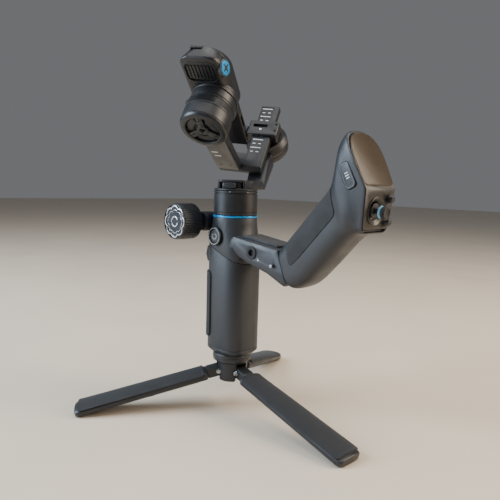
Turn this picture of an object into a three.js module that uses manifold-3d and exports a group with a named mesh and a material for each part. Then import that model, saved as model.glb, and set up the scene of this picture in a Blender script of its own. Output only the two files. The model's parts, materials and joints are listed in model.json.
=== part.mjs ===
// Hand-held three-axis gimbal stabilizer standing on its folding mini tripod.
// Millimetres, +Z up. +X points to the rear sling grip, -Y is the side with the buttons and the hand wheel.
// The pan axis is the line x = y = 0 while the parts are drawn; the finished group is moved so that
// its origin is the bottom centre of its bounding box.
import * as THREE from 'three';
import { mergeVertices } from 'three/addons/utils/BufferGeometryUtils.js';
import Module from 'manifold-3d';

const wasm = await Module();
wasm.setup();

// ---------------------------------------------------------------- driving dimensions
const GAP = 0.3;                 // clearance between touching pieces
const ROUND = 28;                // facets of a large round part
const MEDIUM_ROUND = 20;
const SMALL_ROUND = 14;          // facets of a small round part

const HUB = { bottom: 30, top: 60.7, collarR: 20.4, footR: 15.7, collarHeight: 9 };
const LEG = { pivotR: 15, pivotZ: 40, tipR: 162, tipZ: 4.2, width: 31, height: 10, start: 11 };
const LEG_AZIMUTHS = [-2, 118, 238];
const LEG_PAD_THICKNESS = 1.6;

const HANDLE = { halfX: 26, halfY: 22.5, power: 2.9, bottom: 61, capHeight: 6, seamZ: 169, seamSlope: -0.423 };
const HANDLE_WALL = 4;
const CELL = { r: 9.2, length: 65, offset: 10, bottom: 78 };
const TRIGGER = { front: -38, back: -26.6, width: 17, bottom: 154, top: 177 };

const HEAD = { topR: 22.9, top: 204.2, ringTop: 206.4, ringR: 23.4 };
const ARM = { halfWidth: 19, round: 5 };
const KNOB = { x: -42, z: 198, face: -48, back: -24, r: 19 };
const MODE_BUTTON = { x: -4, z: 185, r: 7.2, ringR: 9.6, face: -25.4 };
const PORT = { x: 45, z: 173, r: 6.5, holeR: 3.4 };

const GRIP = { halfWidth: 19.5, round: 8 };
const CONTROL = { left: -23, right: 26 };
const FACE_TOP = [148.6, 283.9];  // side view corners of the control face
const FACE_BEND = [171.5, 237.5];
const FACE_BOTTOM = [168, 205];
const GLASS_BOTTOM = 240.5;
const STICK = { y: -2, z: 220 };
const ROUND_BUTTON = { y: 14.6, r: 3.4, upperZ: 230, lowerZ: 211 };
const SIDE_BUTTON = { x: 154.3, z: 247.8, halfLength: 11, halfWidth: 5, lean: 63 };

const PAN = { r: 22.6, bottom: 206.8, seam: 231.6, top: 242.8 };
const PAN_ARM = { halfWidth: 11, bottom: 232.4, top: 242.8, bend: 86, endR: 131, endZ: 262 };

const CENTRE_Z = 387.2;           // height where the three axes come closest
const PAN_ANGLE = -58.6;          // degrees
const ROLL_AXIS_RISE = 34.8;      // degrees above the horizontal
const ROLL_ANGLE = -95.6;         // the unpowered arms hang down

// The axes of the arm frame are x along the roll axis, y along the tilt axis and z across both.
const BAR = { front: -141, back: -150, top: -38.5, end: 61.5, halfWidth: 11.6, flangeTop: 38, flangeSide: -41.6 };
const BAR_CHAMFER = 4.5;
const CLAMP = { front: -137.6, back: -153.4, halfLength: 11, halfWidth: 19 };
const ROLL = { r: 26.4, frontR: 21.5, seam: -169, back: -178, cup: 1.5 };
const SIDE_ARM = { thickness: 11, outer: 64.7, outerAtMotor: 75.5, low: -41.6, high: -13 };
const TILT = { x: -32.5, z: -18, r: 24, face: 99, cover: 95.6, seam: 70.4, collar: 58 };
const HOUSING = { top: 21.5, bottom: -68, z: -22, halfWidth: 21.5, face: 57.6, seam: 41, back: 29.6, corner: 16 };
const RAIL = { inner: 31, outer: 39.4, low: -35.5, high: -6, tip: -124, top: -40 };
const RAIL_TRAVEL = { in: 40, out: 8 };
const LOCK = { x: 3.8, y: 50.3, z: 0.5, r: 8.8, height: 3.4, leanForward: 14, leanOut: 6 };
const PLATE = { top: -26, bottom: -68, low: -42, high: -16, thickness: 8 };

// ---------------------------------------------------------------- materials
const paint = (color, roughness, metalness = 0) => new THREE.MeshStandardMaterial({ color, roughness, metalness });
const BLACK = paint(0x1d1f23, 0.55);
const GREY_METAL = paint(0x34373c, 0.45, 0.5);
const RUBBER = paint(0x17181a, 0.9);
const BLUE = paint(0x2aa6d8, 0.4, 0.3);
const PALE_BLUE = paint(0x7cc4e8, 0.4);
const SILVER = paint(0xb5b8bb, 0.3, 0.8);
const GLASS = paint(0x241e1a, 0.08);
const BOARD = paint(0x1d5a38, 0.6);
const CELL_WRAP = paint(0x2b5f8f, 0.5);
const STEEL = paint(0x8f9296, 0.35, 0.9);

// ---------------------------------------------------------------- geometry helpers
const radians = THREE.MathUtils.degToRad;
const lerp = THREE.MathUtils.lerp;

// Keeps positions only, merges shared vertices and makes the faces point out.
function closed(geometry) {
  if (geometry.userData.closed) return geometry;
  const bare = geometry.clone();
  for (const name of Object.keys(bare.attributes)) {
    if (name !== 'position') bare.deleteAttribute(name);
  }
  const merged = mergeVertices(bare, 1e-4);
  const p = merged.attributes.position;
  const index = merged.index.array;
  const [a, b, c] = [new THREE.Vector3(), new THREE.Vector3(), new THREE.Vector3()];
  const kept = [];
  let volume = 0;
  for (let i = 0; i < index.length; i += 3) {
    const [ia, ib, ic] = [index[i], index[i + 1], index[i + 2]];
    if (ia === ib || ib === ic || ic === ia) continue;
    kept.push(ia, ib, ic);
    volume += a.fromBufferAttribute(p, ia).dot(b.fromBufferAttribute(p, ib).cross(c.fromBufferAttribute(p, ic)));
  }
  if (volume < 0) {
    for (let i = 0; i < kept.length; i += 3) [kept[i + 1], kept[i + 2]] = [kept[i + 2], kept[i + 1]];
  }
  merged.setIndex(kept);
  merged.userData.closed = true;
  return merged;
}

function toSolid(geometry) {
  const g = closed(geometry);
  const mesh = new wasm.Mesh({
    numProp: 3,
    vertProperties: new Float32Array(g.attributes.position.array),
    triVerts: new Uint32Array(g.index.array),
  });
  return new wasm.Manifold(mesh);
}

// Slivers left by a boolean are taken out on the way back.
function toGeometry(solid) {
  const mesh = solid.asOriginal().simplify(0.01).getMesh();
  const g = new THREE.BufferGeometry();
  g.setAttribute('position', new THREE.BufferAttribute(new Float32Array(mesh.vertProperties), 3));
  g.setIndex(Array.from(mesh.triVerts));
  const merged = mergeVertices(g, 1e-6);
  merged.userData.closed = true;
  return merged;
}

const join = (first, ...rest) => toGeometry(rest.reduce((s, g) => s.add(toSolid(g)), toSolid(first)));
const cut = (first, ...rest) => toGeometry(rest.reduce((s, g) => s.subtract(toSolid(g)), toSolid(first)));
const common = (first, second) => toGeometry(toSolid(first).intersect(toSolid(second)));

// A box given by its lowest and highest corners.
function box(x0, x1, y0, y1, z0, z1) {
  return new THREE.BoxGeometry(x1 - x0, y1 - y0, z1 - z0).translate((x0 + x1) / 2, (y0 + y1) / 2, (z0 + z1) / 2);
}

// A turned part about +Z: the profile lists [radius, height] from the bottom up.
function turned(profile, facets = ROUND) {
  const points = [[0, profile[0][1]], ...profile, [0, profile.at(-1)[1]]].map(([r, z]) => new THREE.Vector2(r, z));
  return closed(new THREE.LatheGeometry(points, facets)).rotateX(Math.PI / 2);
}

function disc(r, bottom, top, facets = ROUND) {
  return turned([[r, bottom], [r, top]], facets);
}

// Turned parts about the X, Y or Z axis, moved to their place.
const alongY = (geometry, x, z) => geometry.rotateX(-Math.PI / 2).translate(x, 0, z);
const alongX = (geometry, y, z) => geometry.rotateY(Math.PI / 2).translate(0, y, z);

// A closed skin over rings of equally many points, capped at both ends. A thin curved section, which runs
// out along one side and back along the other, is capped by folding it.
function loft(rings, folded = false) {
  const count = rings[0].length;
  const points = rings.flat();
  const index = [];
  for (let r = 0; r + 1 < rings.length; r++) {
    for (let i = 0; i < count; i++) {
      const a = r * count + i;
      const b = r * count + (i + 1) % count;
      index.push(a, b, b + count, a, b + count, a + count);
    }
  }
  for (const [ring, flip] of [[0, true], [rings.length - 1, false]]) {
    const start = ring * count;
    if (folded) {
      for (let i = 0; i < count / 2 - 1; i++) {
        const [a, b, c, d] = [start + i, start + i + 1, start + count - 2 - i, start + count - 1 - i];
        index.push(...(flip ? [c, b, a, d, c, a] : [a, b, c, a, c, d]));
      }
      continue;
    }
    const middle = new THREE.Vector3();
    rings[ring].forEach((p) => middle.addScaledVector(p, 1 / count));
    points.push(middle);
    for (let i = 0; i < count; i++) {
      const a = start + i;
      const b = start + (i + 1) % count;
      index.push(...(flip ? [b, a, points.length - 1] : [a, b, points.length - 1]));
    }
  }
  const g = new THREE.BufferGeometry().setFromPoints(points);
  g.setIndex(index);
  return closed(g);
}

// One ring of a rounded section: power 2 is an ellipse, more is squarer.
function oval(halfX, halfY, power, heightAt, count = ROUND) {
  return Array.from({ length: count }, (_, i) => {
    const t = (i / count) * 2 * Math.PI;
    const [c, s] = [Math.cos(t), Math.sin(t)];
    const x = halfX * Math.sign(c) * Math.abs(c) ** (2 / power);
    const y = halfY * Math.sign(s) * Math.abs(s) ** (2 / power);
    return new THREE.Vector3(x, y, heightAt(x));
  });
}

function toShape(outline) {
  if (outline instanceof THREE.Shape) return outline;
  return new THREE.Shape(outline.map(([a, b]) => new THREE.Vector2(a, b)));
}

// A plate whose outline lies in X and Z, from y0 to y1, with its long edges rounded.
function slab(outline, y0, y1, round = 0, steps = 2) {
  const shape = toShape(outline);
  const options = { depth: y1 - y0 - 2 * round, bevelEnabled: round > 0, curveSegments: 3 };
  Object.assign(options, { bevelThickness: round, bevelSize: round, bevelOffset: -round, bevelSegments: steps });
  const plate = new THREE.ExtrudeGeometry(shape, options).translate(0, 0, y0 + round);
  return closed(plate.rotateX(Math.PI / 2).scale(1, -1, 1));
}

function roundedRect(x0, x1, y0, y1, r) {
  const shape = new THREE.Shape();
  shape.moveTo(x0 + r, y0);
  shape.lineTo(x1 - r, y0);
  shape.absarc(x1 - r, y0 + r, r, -Math.PI / 2, 0);
  shape.lineTo(x1, y1 - r);
  shape.absarc(x1 - r, y1 - r, r, 0, Math.PI / 2);
  shape.lineTo(x0 + r, y1);
  shape.absarc(x0 + r, y1 - r, r, Math.PI / 2, Math.PI);
  shape.lineTo(x0, y0 + r);
  shape.absarc(x0 + r, y0 + r, r, Math.PI, 1.5 * Math.PI);
  return shape;
}

// An outline in X and Y drawn out along Z.
function prism(points, z0, z1) {
  const options = { depth: z1 - z0, bevelEnabled: false, curveSegments: 5 };
  return new THREE.ExtrudeGeometry(toShape(points), options).translate(0, 0, z0);
}

// A block with its edges along Y rounded by r and its faces across Y rounded by round.
const block = (x0, x1, y0, y1, z0, z1, r, round = 0) => slab(roundedRect(x0, x1, z0, z1, r), y0, y1, round, 1);

const names = new Set();
function add(group, name, geometry, material) {
  if (names.has(name)) throw new Error(`two pieces are named ${name}`);
  names.add(name);
  const mesh = new THREE.Mesh(closed(geometry), material);
  mesh.name = name;
  group.add(mesh);
  return mesh;
}

// ---------------------------------------------------------------- tripod
function tripodHub(group) {
  const collarBottom = HUB.top - HUB.collarHeight;
  let hub = turned([
    [HUB.footR - 1.5, HUB.bottom], [HUB.footR, HUB.bottom + 1.5], [HUB.footR + 1.6, collarBottom - 2],
    [HUB.collarR - 1, collarBottom], [HUB.collarR, collarBottom + 1], [HUB.collarR, HUB.top - 1],
    [HUB.collarR - 1, HUB.top],
  ]);
  for (const azimuth of LEG_AZIMUTHS) {
    const slot = box(6, 30, -6.6, 6.6, HUB.bottom - 5, collarBottom - 2).rotateZ(radians(azimuth));
    const bore = alongY(disc(2 + GAP, -9.6, 9.6, SMALL_ROUND), LEG.pivotR, LEG.pivotZ).rotateZ(radians(azimuth));
    hub = cut(hub, slot, bore);
  }
  hub = cut(hub, disc(3 + GAP, 54, HUB.top + 1, SMALL_ROUND));
  add(group, 'tripod_hub', hub, BLACK);
  add(group, 'tripod_stud', disc(3, 54 + GAP, 70, SMALL_ROUND), STEEL);
}

// One cross-section of a leg, in its own Y and Z: flat below, arched above.
function legSection(x, halfWidth, height) {
  const points = [[-0.68, -0.5], [0.68, -0.5], [1, -0.16]];
  for (let step = 0; step <= 8; step++) {
    const t = (step / 8) * Math.PI;
    points.push([Math.cos(t), 0.1 + 0.4 * Math.sin(t)]);
  }
  points.push([-1, -0.16]);
  return points.map(([y, z]) => new THREE.Vector3(x, y * halfWidth, z * height));
}

// The rubber pad follows the arch of the leg.
function padSection(x, halfWidth, height, thickness) {
  const arc = [];
  for (let step = 1; step <= 7; step++) arc.push((step / 8) * Math.PI);
  const at = (t, lift) => new THREE.Vector3(
    x, (halfWidth + lift) * Math.cos(t), 0.1 * height + (0.4 * height + lift) * Math.sin(t));
  return [...arc.map((t) => at(t, GAP + thickness)), ...arc.reverse().map((t) => at(t, GAP))];
}

function tripodLeg(group, number, azimuth) {
  const turn = new THREE.Group();
  turn.rotation.z = radians(azimuth);
  group.add(turn);
  const leg = new THREE.Group();
  leg.position.set(LEG.pivotR, 0, LEG.pivotZ);
  leg.rotation.y = Math.atan2(LEG.pivotZ - LEG.tipZ, LEG.tipR - LEG.pivotR);
  turn.add(leg);
  const length = Math.hypot(LEG.pivotZ - LEG.tipZ, LEG.tipR - LEG.pivotR);
  const widthAt = (x) => lerp(0.39, 0.5, x / length) * LEG.width;
  const heightAt = (x) => lerp(1.1, 0.95, x / length) * LEG.height;
  const stations = [[LEG.start, 0.9], [LEG.start + 3, 1], [length - 8, 1], [length - 3, 0.94], [length, 0.8]];
  const body = loft(stations.map(([x, s]) => legSection(x, s * widthAt(x), s * heightAt(x))));
  const tongue = slab(roundedRect(-5.3, LEG.start + 4, -5.2, 5.2, 5.1), -6, 6);
  const bore = alongY(disc(2 + GAP, -8, 8, SMALL_ROUND), 0, 0);
  add(leg, `leg_${number}`, cut(join(body, tongue), bore), BLACK);
  const pad = [LEG.start + 8, length - 9].map((x) => padSection(x, widthAt(x), heightAt(x), LEG_PAD_THICKNESS));
  add(leg, `leg_pad_${number}`, loft(pad, true), RUBBER);
  add(turn, `leg_pin_${number}`, alongY(disc(2, -9.3, 9.3, SMALL_ROUND), LEG.pivotR, LEG.pivotZ), STEEL);
}

// ---------------------------------------------------------------- handle
const seam = (x) => HANDLE.seamZ + HANDLE.seamSlope * x;
const handleRing = (grow, heightAt) => oval(HANDLE.halfX + grow, HANDLE.halfY + grow, HANDLE.power, heightAt);

function handle(group) {
  const capTop = HANDLE.bottom + HANDLE.capHeight;
  const cap = loft([handleRing(-3.5, () => HANDLE.bottom), handleRing(0, () => HANDLE.bottom + 3.5),
    handleRing(0, () => capTop)]);
  add(group, 'handle_end_cap', cut(cap, disc(3 + GAP, 50, capTop + 1, SMALL_ROUND)), BLACK);

  const outer = loft([handleRing(0, () => capTop + GAP), handleRing(0, (x) => seam(x) - GAP)]);
  const bore = loft([handleRing(-HANDLE_WALL, () => capTop - 1), handleRing(-HANDLE_WALL, (x) => seam(x) + 2)]);
  const pocket = box(-40, TRIGGER.back + 5.5, -TRIGGER.width / 2 - 0.5, TRIGGER.width / 2 + 0.5,
    TRIGGER.bottom - 1.5, TRIGGER.top + 1.5);
  add(group, 'handle_shell', cut(outer, bore, pocket), BLACK);

  const band = loft([handleRing(GAP + 1.6, () => 76), handleRing(GAP + 1.6, () => 148)]);
  const inside = loft([handleRing(GAP, () => 70), handleRing(GAP, () => 152)]);
  const panel = common(cut(band, inside), box(-40, -10, -40, 40, 60, 160));
  add(group, 'front_grip_panel', panel, RUBBER);

  for (const [number, side] of [[1, -1], [2, 1]]) {
    const cell = disc(CELL.r, CELL.bottom, CELL.bottom + CELL.length, MEDIUM_ROUND).translate(side * CELL.offset, 0, 0);
    add(group, `battery_cell_${number}`, cell, CELL_WRAP);
  }

  const blade = slab([[TRIGGER.back, TRIGGER.bottom + 2], [TRIGGER.front + 3, TRIGGER.bottom], [TRIGGER.front, 162],
    [TRIGGER.front + 2.5, 171], [TRIGGER.back + 2, TRIGGER.top], [TRIGGER.back + 4.5, TRIGGER.top - 3]],
  -TRIGGER.width / 2, TRIGGER.width / 2, 2, 2);
  add(group, 'trigger', blade, GREY_METAL);
}

// ---------------------------------------------------------------- head and rear arm
function head(group) {
  const rings = [0, 0.3, 0.6, 0.85, 1].map((t) => {
    const bottom = (x) => seam(x) + (t === 0 ? GAP : 0);
    const blend = t * t * (3 - 2 * t);
    return oval(lerp(HANDLE.halfX, HEAD.topR, blend), lerp(HANDLE.halfY, HEAD.topR, blend), lerp(HANDLE.power, 2, blend),
      (x) => lerp(bottom(x), HEAD.top, t));
  });
  const beam = slab([[0, 188.5], [20, 187], [78, 179.8], [96, 152], [85, 145.5], [65, 154], [38, 161], [24, 166],
    [6, 176]], -ARM.halfWidth, ARM.halfWidth, ARM.round);
  const beyondSeam = slab([[76.4, 180.5], [90.9, 147], [90, 130], [130, 130], [130, 200], [76.4, 200]], -40, 40);
  const cavity = box(-15, 80, -13.5, 13.5, 166, 176);
  const shaftBore = disc(6, 190, 220, MEDIUM_ROUND);
  const modeRing = alongY(disc(MODE_BUTTON.ringR + GAP, -40, -20.2, MEDIUM_ROUND), MODE_BUTTON.x, MODE_BUTTON.z);
  const modeWell = alongY(disc(MODE_BUTTON.r + GAP, -30, -17.6, MEDIUM_ROUND), MODE_BUTTON.x, MODE_BUTTON.z);
  const portWell = alongY(disc(PORT.r + GAP, -30, -15.4, SMALL_ROUND), PORT.x, PORT.z);
  const pinWell = alongY(disc(1.6 + GAP, -30, -15.4, SMALL_ROUND), 74, 164);
  const shell = join(loft(rings), beam);
  add(group, 'head_shell', cut(shell, beyondSeam, cavity, shaftBore, modeRing, modeWell, portWell, pinWell), BLACK);

  const ring = cut(disc(HEAD.ringR, HEAD.top + GAP, HEAD.ringTop), disc(20, 200, 210));
  add(group, 'accent_ring', ring, BLUE);

  const modeCollar = cut(alongY(disc(MODE_BUTTON.ringR, MODE_BUTTON.face, -20.5, MEDIUM_ROUND), MODE_BUTTON.x, MODE_BUTTON.z),
    alongY(disc(MODE_BUTTON.r + GAP, -40, -10, MEDIUM_ROUND), MODE_BUTTON.x, MODE_BUTTON.z));
  add(group, 'mode_button_ring', modeCollar, GREY_METAL);
  const cap = turned([[MODE_BUTTON.r, 19], [MODE_BUTTON.r, 24.2], [MODE_BUTTON.r - 0.8, 24.8]], MEDIUM_ROUND);
  add(group, 'mode_button', cap.rotateX(Math.PI / 2).translate(MODE_BUTTON.x, 0, MODE_BUTTON.z), BLACK);

  const port = cut(alongY(disc(PORT.r, -20, -15.7, SMALL_ROUND), PORT.x, PORT.z),
    alongY(disc(PORT.holeR, -30, -17, SMALL_ROUND), PORT.x, PORT.z));
  add(group, 'port_ring', port, RUBBER);
  add(group, 'strap_pin', alongY(disc(1.6, -22.5, -15.7, SMALL_ROUND), 74, 164), STEEL);

  const slope = Math.atan2(187 - 179.8, 58);
  const pad = block(-24.5, 24.5, -13, 13, 0, 1.7, 0.8, 0.5).rotateY(slope).translate(49.6, 0, 183.35 + GAP);
  add(group, 'arm_pad', pad, RUBBER);

  const board = join(box(32, 74, -12, 12, 170, 171.6), box(40, 52, -6, 6, 171, 173.4), box(58, 66, -4, 4, 171, 173));
  add(group, 'main_board', board, BOARD);
}

// The hand wheel stands beside the front of the head on a short bracket.
function handWheel(group) {
  const foot = slab(roundedRect(-52, -23.6, 188, 208, 7), -19, 5, 2, 2);
  const boss = alongY(disc(8, -22.6, -15, MEDIUM_ROUND), KNOB.x, KNOB.z);
  const socket = alongY(disc(4 + GAP, -30, -10, SMALL_ROUND), KNOB.x, KNOB.z);
  const headSide = loft([190, 215].map((z) => oval(HEAD.topR + 1.4, HEAD.topR + 1.4, 2, () => z)));
  const lower = loft([160, 212].map((z) => handleRing(0.2, () => z)));
  add(group, 'wheel_bracket', cut(join(foot, boss), socket, headSide, lower), BLACK);
  const rim = turned([[KNOB.r - 2, -KNOB.back], [KNOB.r, -KNOB.back + 2], [KNOB.r, -KNOB.face - 2],
    [KNOB.r - 1.5, -KNOB.face]]);
  const faceWell = disc(KNOB.r - 3.5, -KNOB.face - 3, -KNOB.face + 5, MEDIUM_ROUND);
  const place = (g) => g.rotateX(Math.PI / 2).translate(KNOB.x, 0, KNOB.z);
  add(group, 'wheel_rim', place(join(cut(rim, faceWell), disc(4, 13, -KNOB.back + 2, SMALL_ROUND))), BLACK);
  add(group, 'wheel_face', place(disc(KNOB.r - 3.5 - GAP, -KNOB.face - 3 + GAP, -KNOB.face - 0.6, MEDIUM_ROUND)), SILVER);
}

// ---------------------------------------------------------------- sling grip and control head
function slingGrip(group) {
  const outline = new THREE.Shape();
  outline.moveTo(50, 154);
  outline.lineTo(84, 187.5);
  outline.lineTo(133, 241);
  outline.quadraticCurveTo(138.5, 247, 139.6, 258);
  outline.lineTo(141, 272);
  outline.lineTo(176, 262);
  outline.lineTo(164, 209);
  outline.quadraticCurveTo(156, 201, 147, 190.8);
  outline.lineTo(124.4, 165.9);
  outline.quadraticCurveTo(106, 143.5, 84, 142.6);
  outline.lineTo(50, 141);
  const beforeSeam = slab([[77, 180.5], [91.3, 147.4], [92, 130], [30, 130], [30, 200], [77, 200]], -40, 40);
  const afterNeck = slab([[139.2, 258.2], [157.4, 202.6], [160, 190], [200, 190], [200, 300], [138, 300]], -40, 40);
  const padWell = (y0, y1) => slab([[85, 184], [136, 240], [141.6, 212], [107.5, 178]], y0, y1);
  const shell = slab(outline, -GRIP.halfWidth, GRIP.halfWidth, GRIP.round, 3);
  add(group, 'grip_shell', cut(shell, beforeSeam, afterNeck, padWell(-30, -17.4), padWell(17.4, 30)), BLACK);
  for (const [name, y0, y1] of [['grip_pad_left', -19.4, -17.7], ['grip_pad_right', 17.7, 19.4]]) {
    add(group, name, slab([[86, 184.2], [135.6, 239.2], [141.1, 212.2], [107.6, 178.7]], y0, y1), RUBBER);
  }
}

// Runs f in a frame whose x lies along the face of the control head and whose z points out of it.
function onFace(geometry, start, end, along, y, depth) {
  const [x0, z0] = start;
  const [x1, z1] = end;
  const length = Math.hypot(x1 - x0, z1 - z0);
  const angle = Math.atan2(z0 - z1, x1 - x0);
  const [nx, nz] = [-(z1 - z0) / length, (x1 - x0) / length];
  const [cx, cz] = [x0 + (x1 - x0) * along / length, z0 + (z1 - z0) * along / length];
  return geometry.rotateY(angle).translate(cx - nx * depth, y, cz - nz * depth);
}

// The control head seen along X, from its lower edge to its arched top; the glass ends above the bend.
function headOutline(grow, bottom = 201) {
  const shape = new THREE.Shape();
  const widen = (z) => lerp(19.3, 24, (z - 208) / 50) + grow;
  const low = bottom + 7;
  shape.moveTo(0, bottom - grow);
  shape.lineTo(widen(low) - 7, bottom - grow);
  shape.quadraticCurveTo(widen(low), bottom - grow, widen(low), low);
  shape.lineTo(widen(258), 258);
  shape.bezierCurveTo(widen(262) + 0.4, 275, 15, 285 + grow, 0, 285 + grow);
  shape.bezierCurveTo(-15, 285 + grow, -widen(262) - 0.4, 275, -widen(258), 258);
  shape.lineTo(-widen(low), low);
  shape.quadraticCurveTo(-widen(low), bottom - grow, 7 - widen(low), bottom - grow);
  return shape;
}

function controlHead(group) {
  const middle = (CONTROL.left + CONTROL.right) / 2;
  const inset = (p, d) => [p[0] - d, p[1]];
  const across = (outline) => prism(outline, 0, 70).rotateX(Math.PI / 2).rotateZ(Math.PI / 2).translate(120, middle, 0);
  const body = slab([[128, 240], [141, 266], [146, 282], FACE_TOP, FACE_BEND, FACE_BOTTOM, [156, 199], [146, 192]],
    CONTROL.left - 3, CONTROL.right + 3);
  const belowNeck = slab([[139.5, 258.4], [157.7, 202.8], [160, 190], [110, 190], [110, 262], [138, 262]], -40, 40);
  const beyondFace = slab([inset(FACE_TOP, 4.6), [144, 292], [190, 292], [190, 195], inset([167.2, 195], 2.4),
    inset(FACE_BEND, 3.2)], -40, 40);
  const cavity = slab([[148, 262], [163, 236], [160, 212], [150, 232]], -13, 15);
  const opening = box(150, 175, -4, 8, 226, 232);
  const key = (grow, y0, y1) => {
    const { x, z, halfLength, halfWidth, lean } = SIDE_BUTTON;
    const outline = roundedRect(-halfLength - grow, halfLength + grow, -halfWidth - grow, halfWidth + grow, 3.2);
    return slab(outline, y0, y1).rotateY(radians(lean)).translate(x, 0, z);
  };
  const onLower = (g, z, y, depth = 0) => onFace(g, FACE_BEND, FACE_BOTTOM, FACE_BEND[1] - z, y, depth);
  const stickWell = onLower(disc(8.5, -6, 0, MEDIUM_ROUND), STICK.z, STICK.y);
  const shell = common(body, across(headOutline(0)));
  add(group, 'control_shell', cut(shell, belowNeck, beyondFace, cavity, opening, stickWell, key(GAP, -40, -18.6)), BLACK);
  add(group, 'side_button', key(0, -22.2, -19.6), BLACK);

  const bent = slab([FACE_TOP, FACE_BEND, FACE_BOTTOM, inset(FACE_BOTTOM, 2), inset(FACE_BEND, 2.7),
    inset(FACE_TOP, 3.6)], -40, 40);
  const glassLayer = (depth, above) => slab([inset(FACE_TOP, depth), inset(FACE_TOP, -above), inset(FACE_BEND, -above),
    inset(FACE_BEND, depth)], -40, 40);
  const screenWell = common(glassLayer(1.3, 4), across(headOutline(-2.2, GLASS_BOTTOM - 2.2)));
  const holes = [onLower(disc(11, -6, 6, MEDIUM_ROUND), STICK.z, STICK.y)];
  for (const z of [ROUND_BUTTON.upperZ, ROUND_BUTTON.lowerZ]) {
    holes.push(onLower(disc(ROUND_BUTTON.r + GAP, -6, 6, SMALL_ROUND), z, ROUND_BUTTON.y));
  }
  add(group, 'control_face', cut(common(bent, across(headOutline(-1, 202))), screenWell, ...holes), GREY_METAL);
  const glass = common(glassLayer(1, 0), across(headOutline(-2.2 - GAP, GLASS_BOTTOM - 2.2)));
  add(group, 'screen', glass, GLASS);

  const yoke = cut(disc(6.2, -1.6, -0.4, MEDIUM_ROUND), disc(2.6, -4, 4, MEDIUM_ROUND));
  add(group, 'stick_yoke', onLower(yoke, STICK.z, STICK.y), GREY_METAL);
  const stick = turned([[2, -1.6], [2, 7], [6.2, 7.6], [6.8, 8.6], [6.8, 10], [5.6, 11]], MEDIUM_ROUND);
  add(group, 'stick_cap', onLower(stick, STICK.z, STICK.y), BLACK);
  const neckRing = cut(disc(5, 4.4, 6.6, MEDIUM_ROUND), disc(2 + GAP, 0, 8, MEDIUM_ROUND));
  add(group, 'stick_ring', onLower(neckRing, STICK.z, STICK.y), PALE_BLUE);
  for (const [name, z] of [['round_button_upper', ROUND_BUTTON.upperZ], ['round_button_lower', ROUND_BUTTON.lowerZ]]) {
    const button = turned([[ROUND_BUTTON.r, -1.2], [ROUND_BUTTON.r, 4.2], [ROUND_BUTTON.r - 0.7, 4.9]], SMALL_ROUND);
    add(group, name, onLower(button, z, ROUND_BUTTON.y), BLACK);
  }
}

// ---------------------------------------------------------------- pan motor and pan arm
function panStator(group) {
  const stator = turned([[PAN.r, PAN.bottom], [PAN.r, PAN.seam - 3], [PAN.r - 1, PAN.seam - 2.6],
    [PAN.r - 1, PAN.seam - 1.8], [PAN.r, PAN.seam - 1.4], [PAN.r, PAN.seam]]);
  add(group, 'pan_stator', cut(stator, disc(6, 200, 240, MEDIUM_ROUND)), BLACK);
}

// x runs along the roll axis' heading, so the arm reaches out along -x.
function panRotor(group) {
  const rotor = disc(PAN.r - 0.2, PAN.seam + GAP, PAN.top);
  const well = box(PAN.r - 5, 40, -10, 10, PAN.seam + 2.4, PAN.top - 2.6);
  const flat = box(-40, -17.7, -PAN_ARM.halfWidth - 1, PAN_ARM.halfWidth + 1, PAN.seam, PAN.top + 1);
  add(group, 'pan_rotor', cut(rotor, well, flat, disc(4 + GAP, 200, 242, MEDIUM_ROUND)), BLACK);
  add(group, 'pan_shaft', disc(4, 196, 241.7, MEDIUM_ROUND), STEEL);
  add(group, 'pan_latch', block(PAN.r - 4.6, PAN.r + 0.9, -5.6, 5.6, PAN.seam + 2.8, PAN.top - 3, 1, 0.8), SILVER);

  const { bottom, top, bend, endR, endZ, halfWidth } = PAN_ARM;
  // The notch in its upper side lets the foot of the cross bar swing past.
  const notch = [[-88, 249], [-81.1, 238.9], [-75.5, top]];
  const outline = [[-18, bottom], [-bend, bottom], [-endR, endZ], [-endR, endZ + 26], [-100.5, 266.5], ...notch,
    [-18, top]];
  const arm = slab(outline, -halfWidth, halfWidth, 1, 2);
  const lockHole = alongY(disc(2.4, -20, -halfWidth + 4, SMALL_ROUND), -46, 237.6);
  const casing = new THREE.Matrix4().makeRotationY(radians(-ROLL_AXIS_RISE)).setPosition(0, 0, CENTRE_Z);
  const onRollAxis = (g) => alongX(g, 0, 0).applyMatrix4(casing);
  const cup = onRollAxis(disc(ROLL.r, ROLL.back + 1, ROLL.seam - GAP));
  const clearStator = onRollAxis(disc(ROLL.r - ROLL.cup, -220, -140));
  const clearRotor = onRollAxis(disc(ROLL.r + GAP, ROLL.seam - GAP, -140));
  add(group, 'pan_arm', cut(join(arm, cup), clearStator, clearRotor, lockHole), BLACK);
}

// ---------------------------------------------------------------- roll motor, clamp and cross bar
function rollMotor(fixed, moving) {
  const r = ROLL.r - ROLL.cup - GAP;
  const stator = turned([[r - 2.5, ROLL.back], [r, ROLL.back + 2.5], [r, ROLL.seam - GAP]]);
  add(fixed, 'roll_motor_housing', alongX(stator, 0, 0), BLACK);
  const rotor = turned([[ROLL.r, ROLL.seam], [ROLL.r, ROLL.seam + 6], [ROLL.frontR + 1, ROLL.seam + 12],
    [ROLL.frontR, CLAMP.back - GAP]]);
  add(moving, 'roll_rotor', alongX(rotor, 0, 0), BLACK);
}

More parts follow.
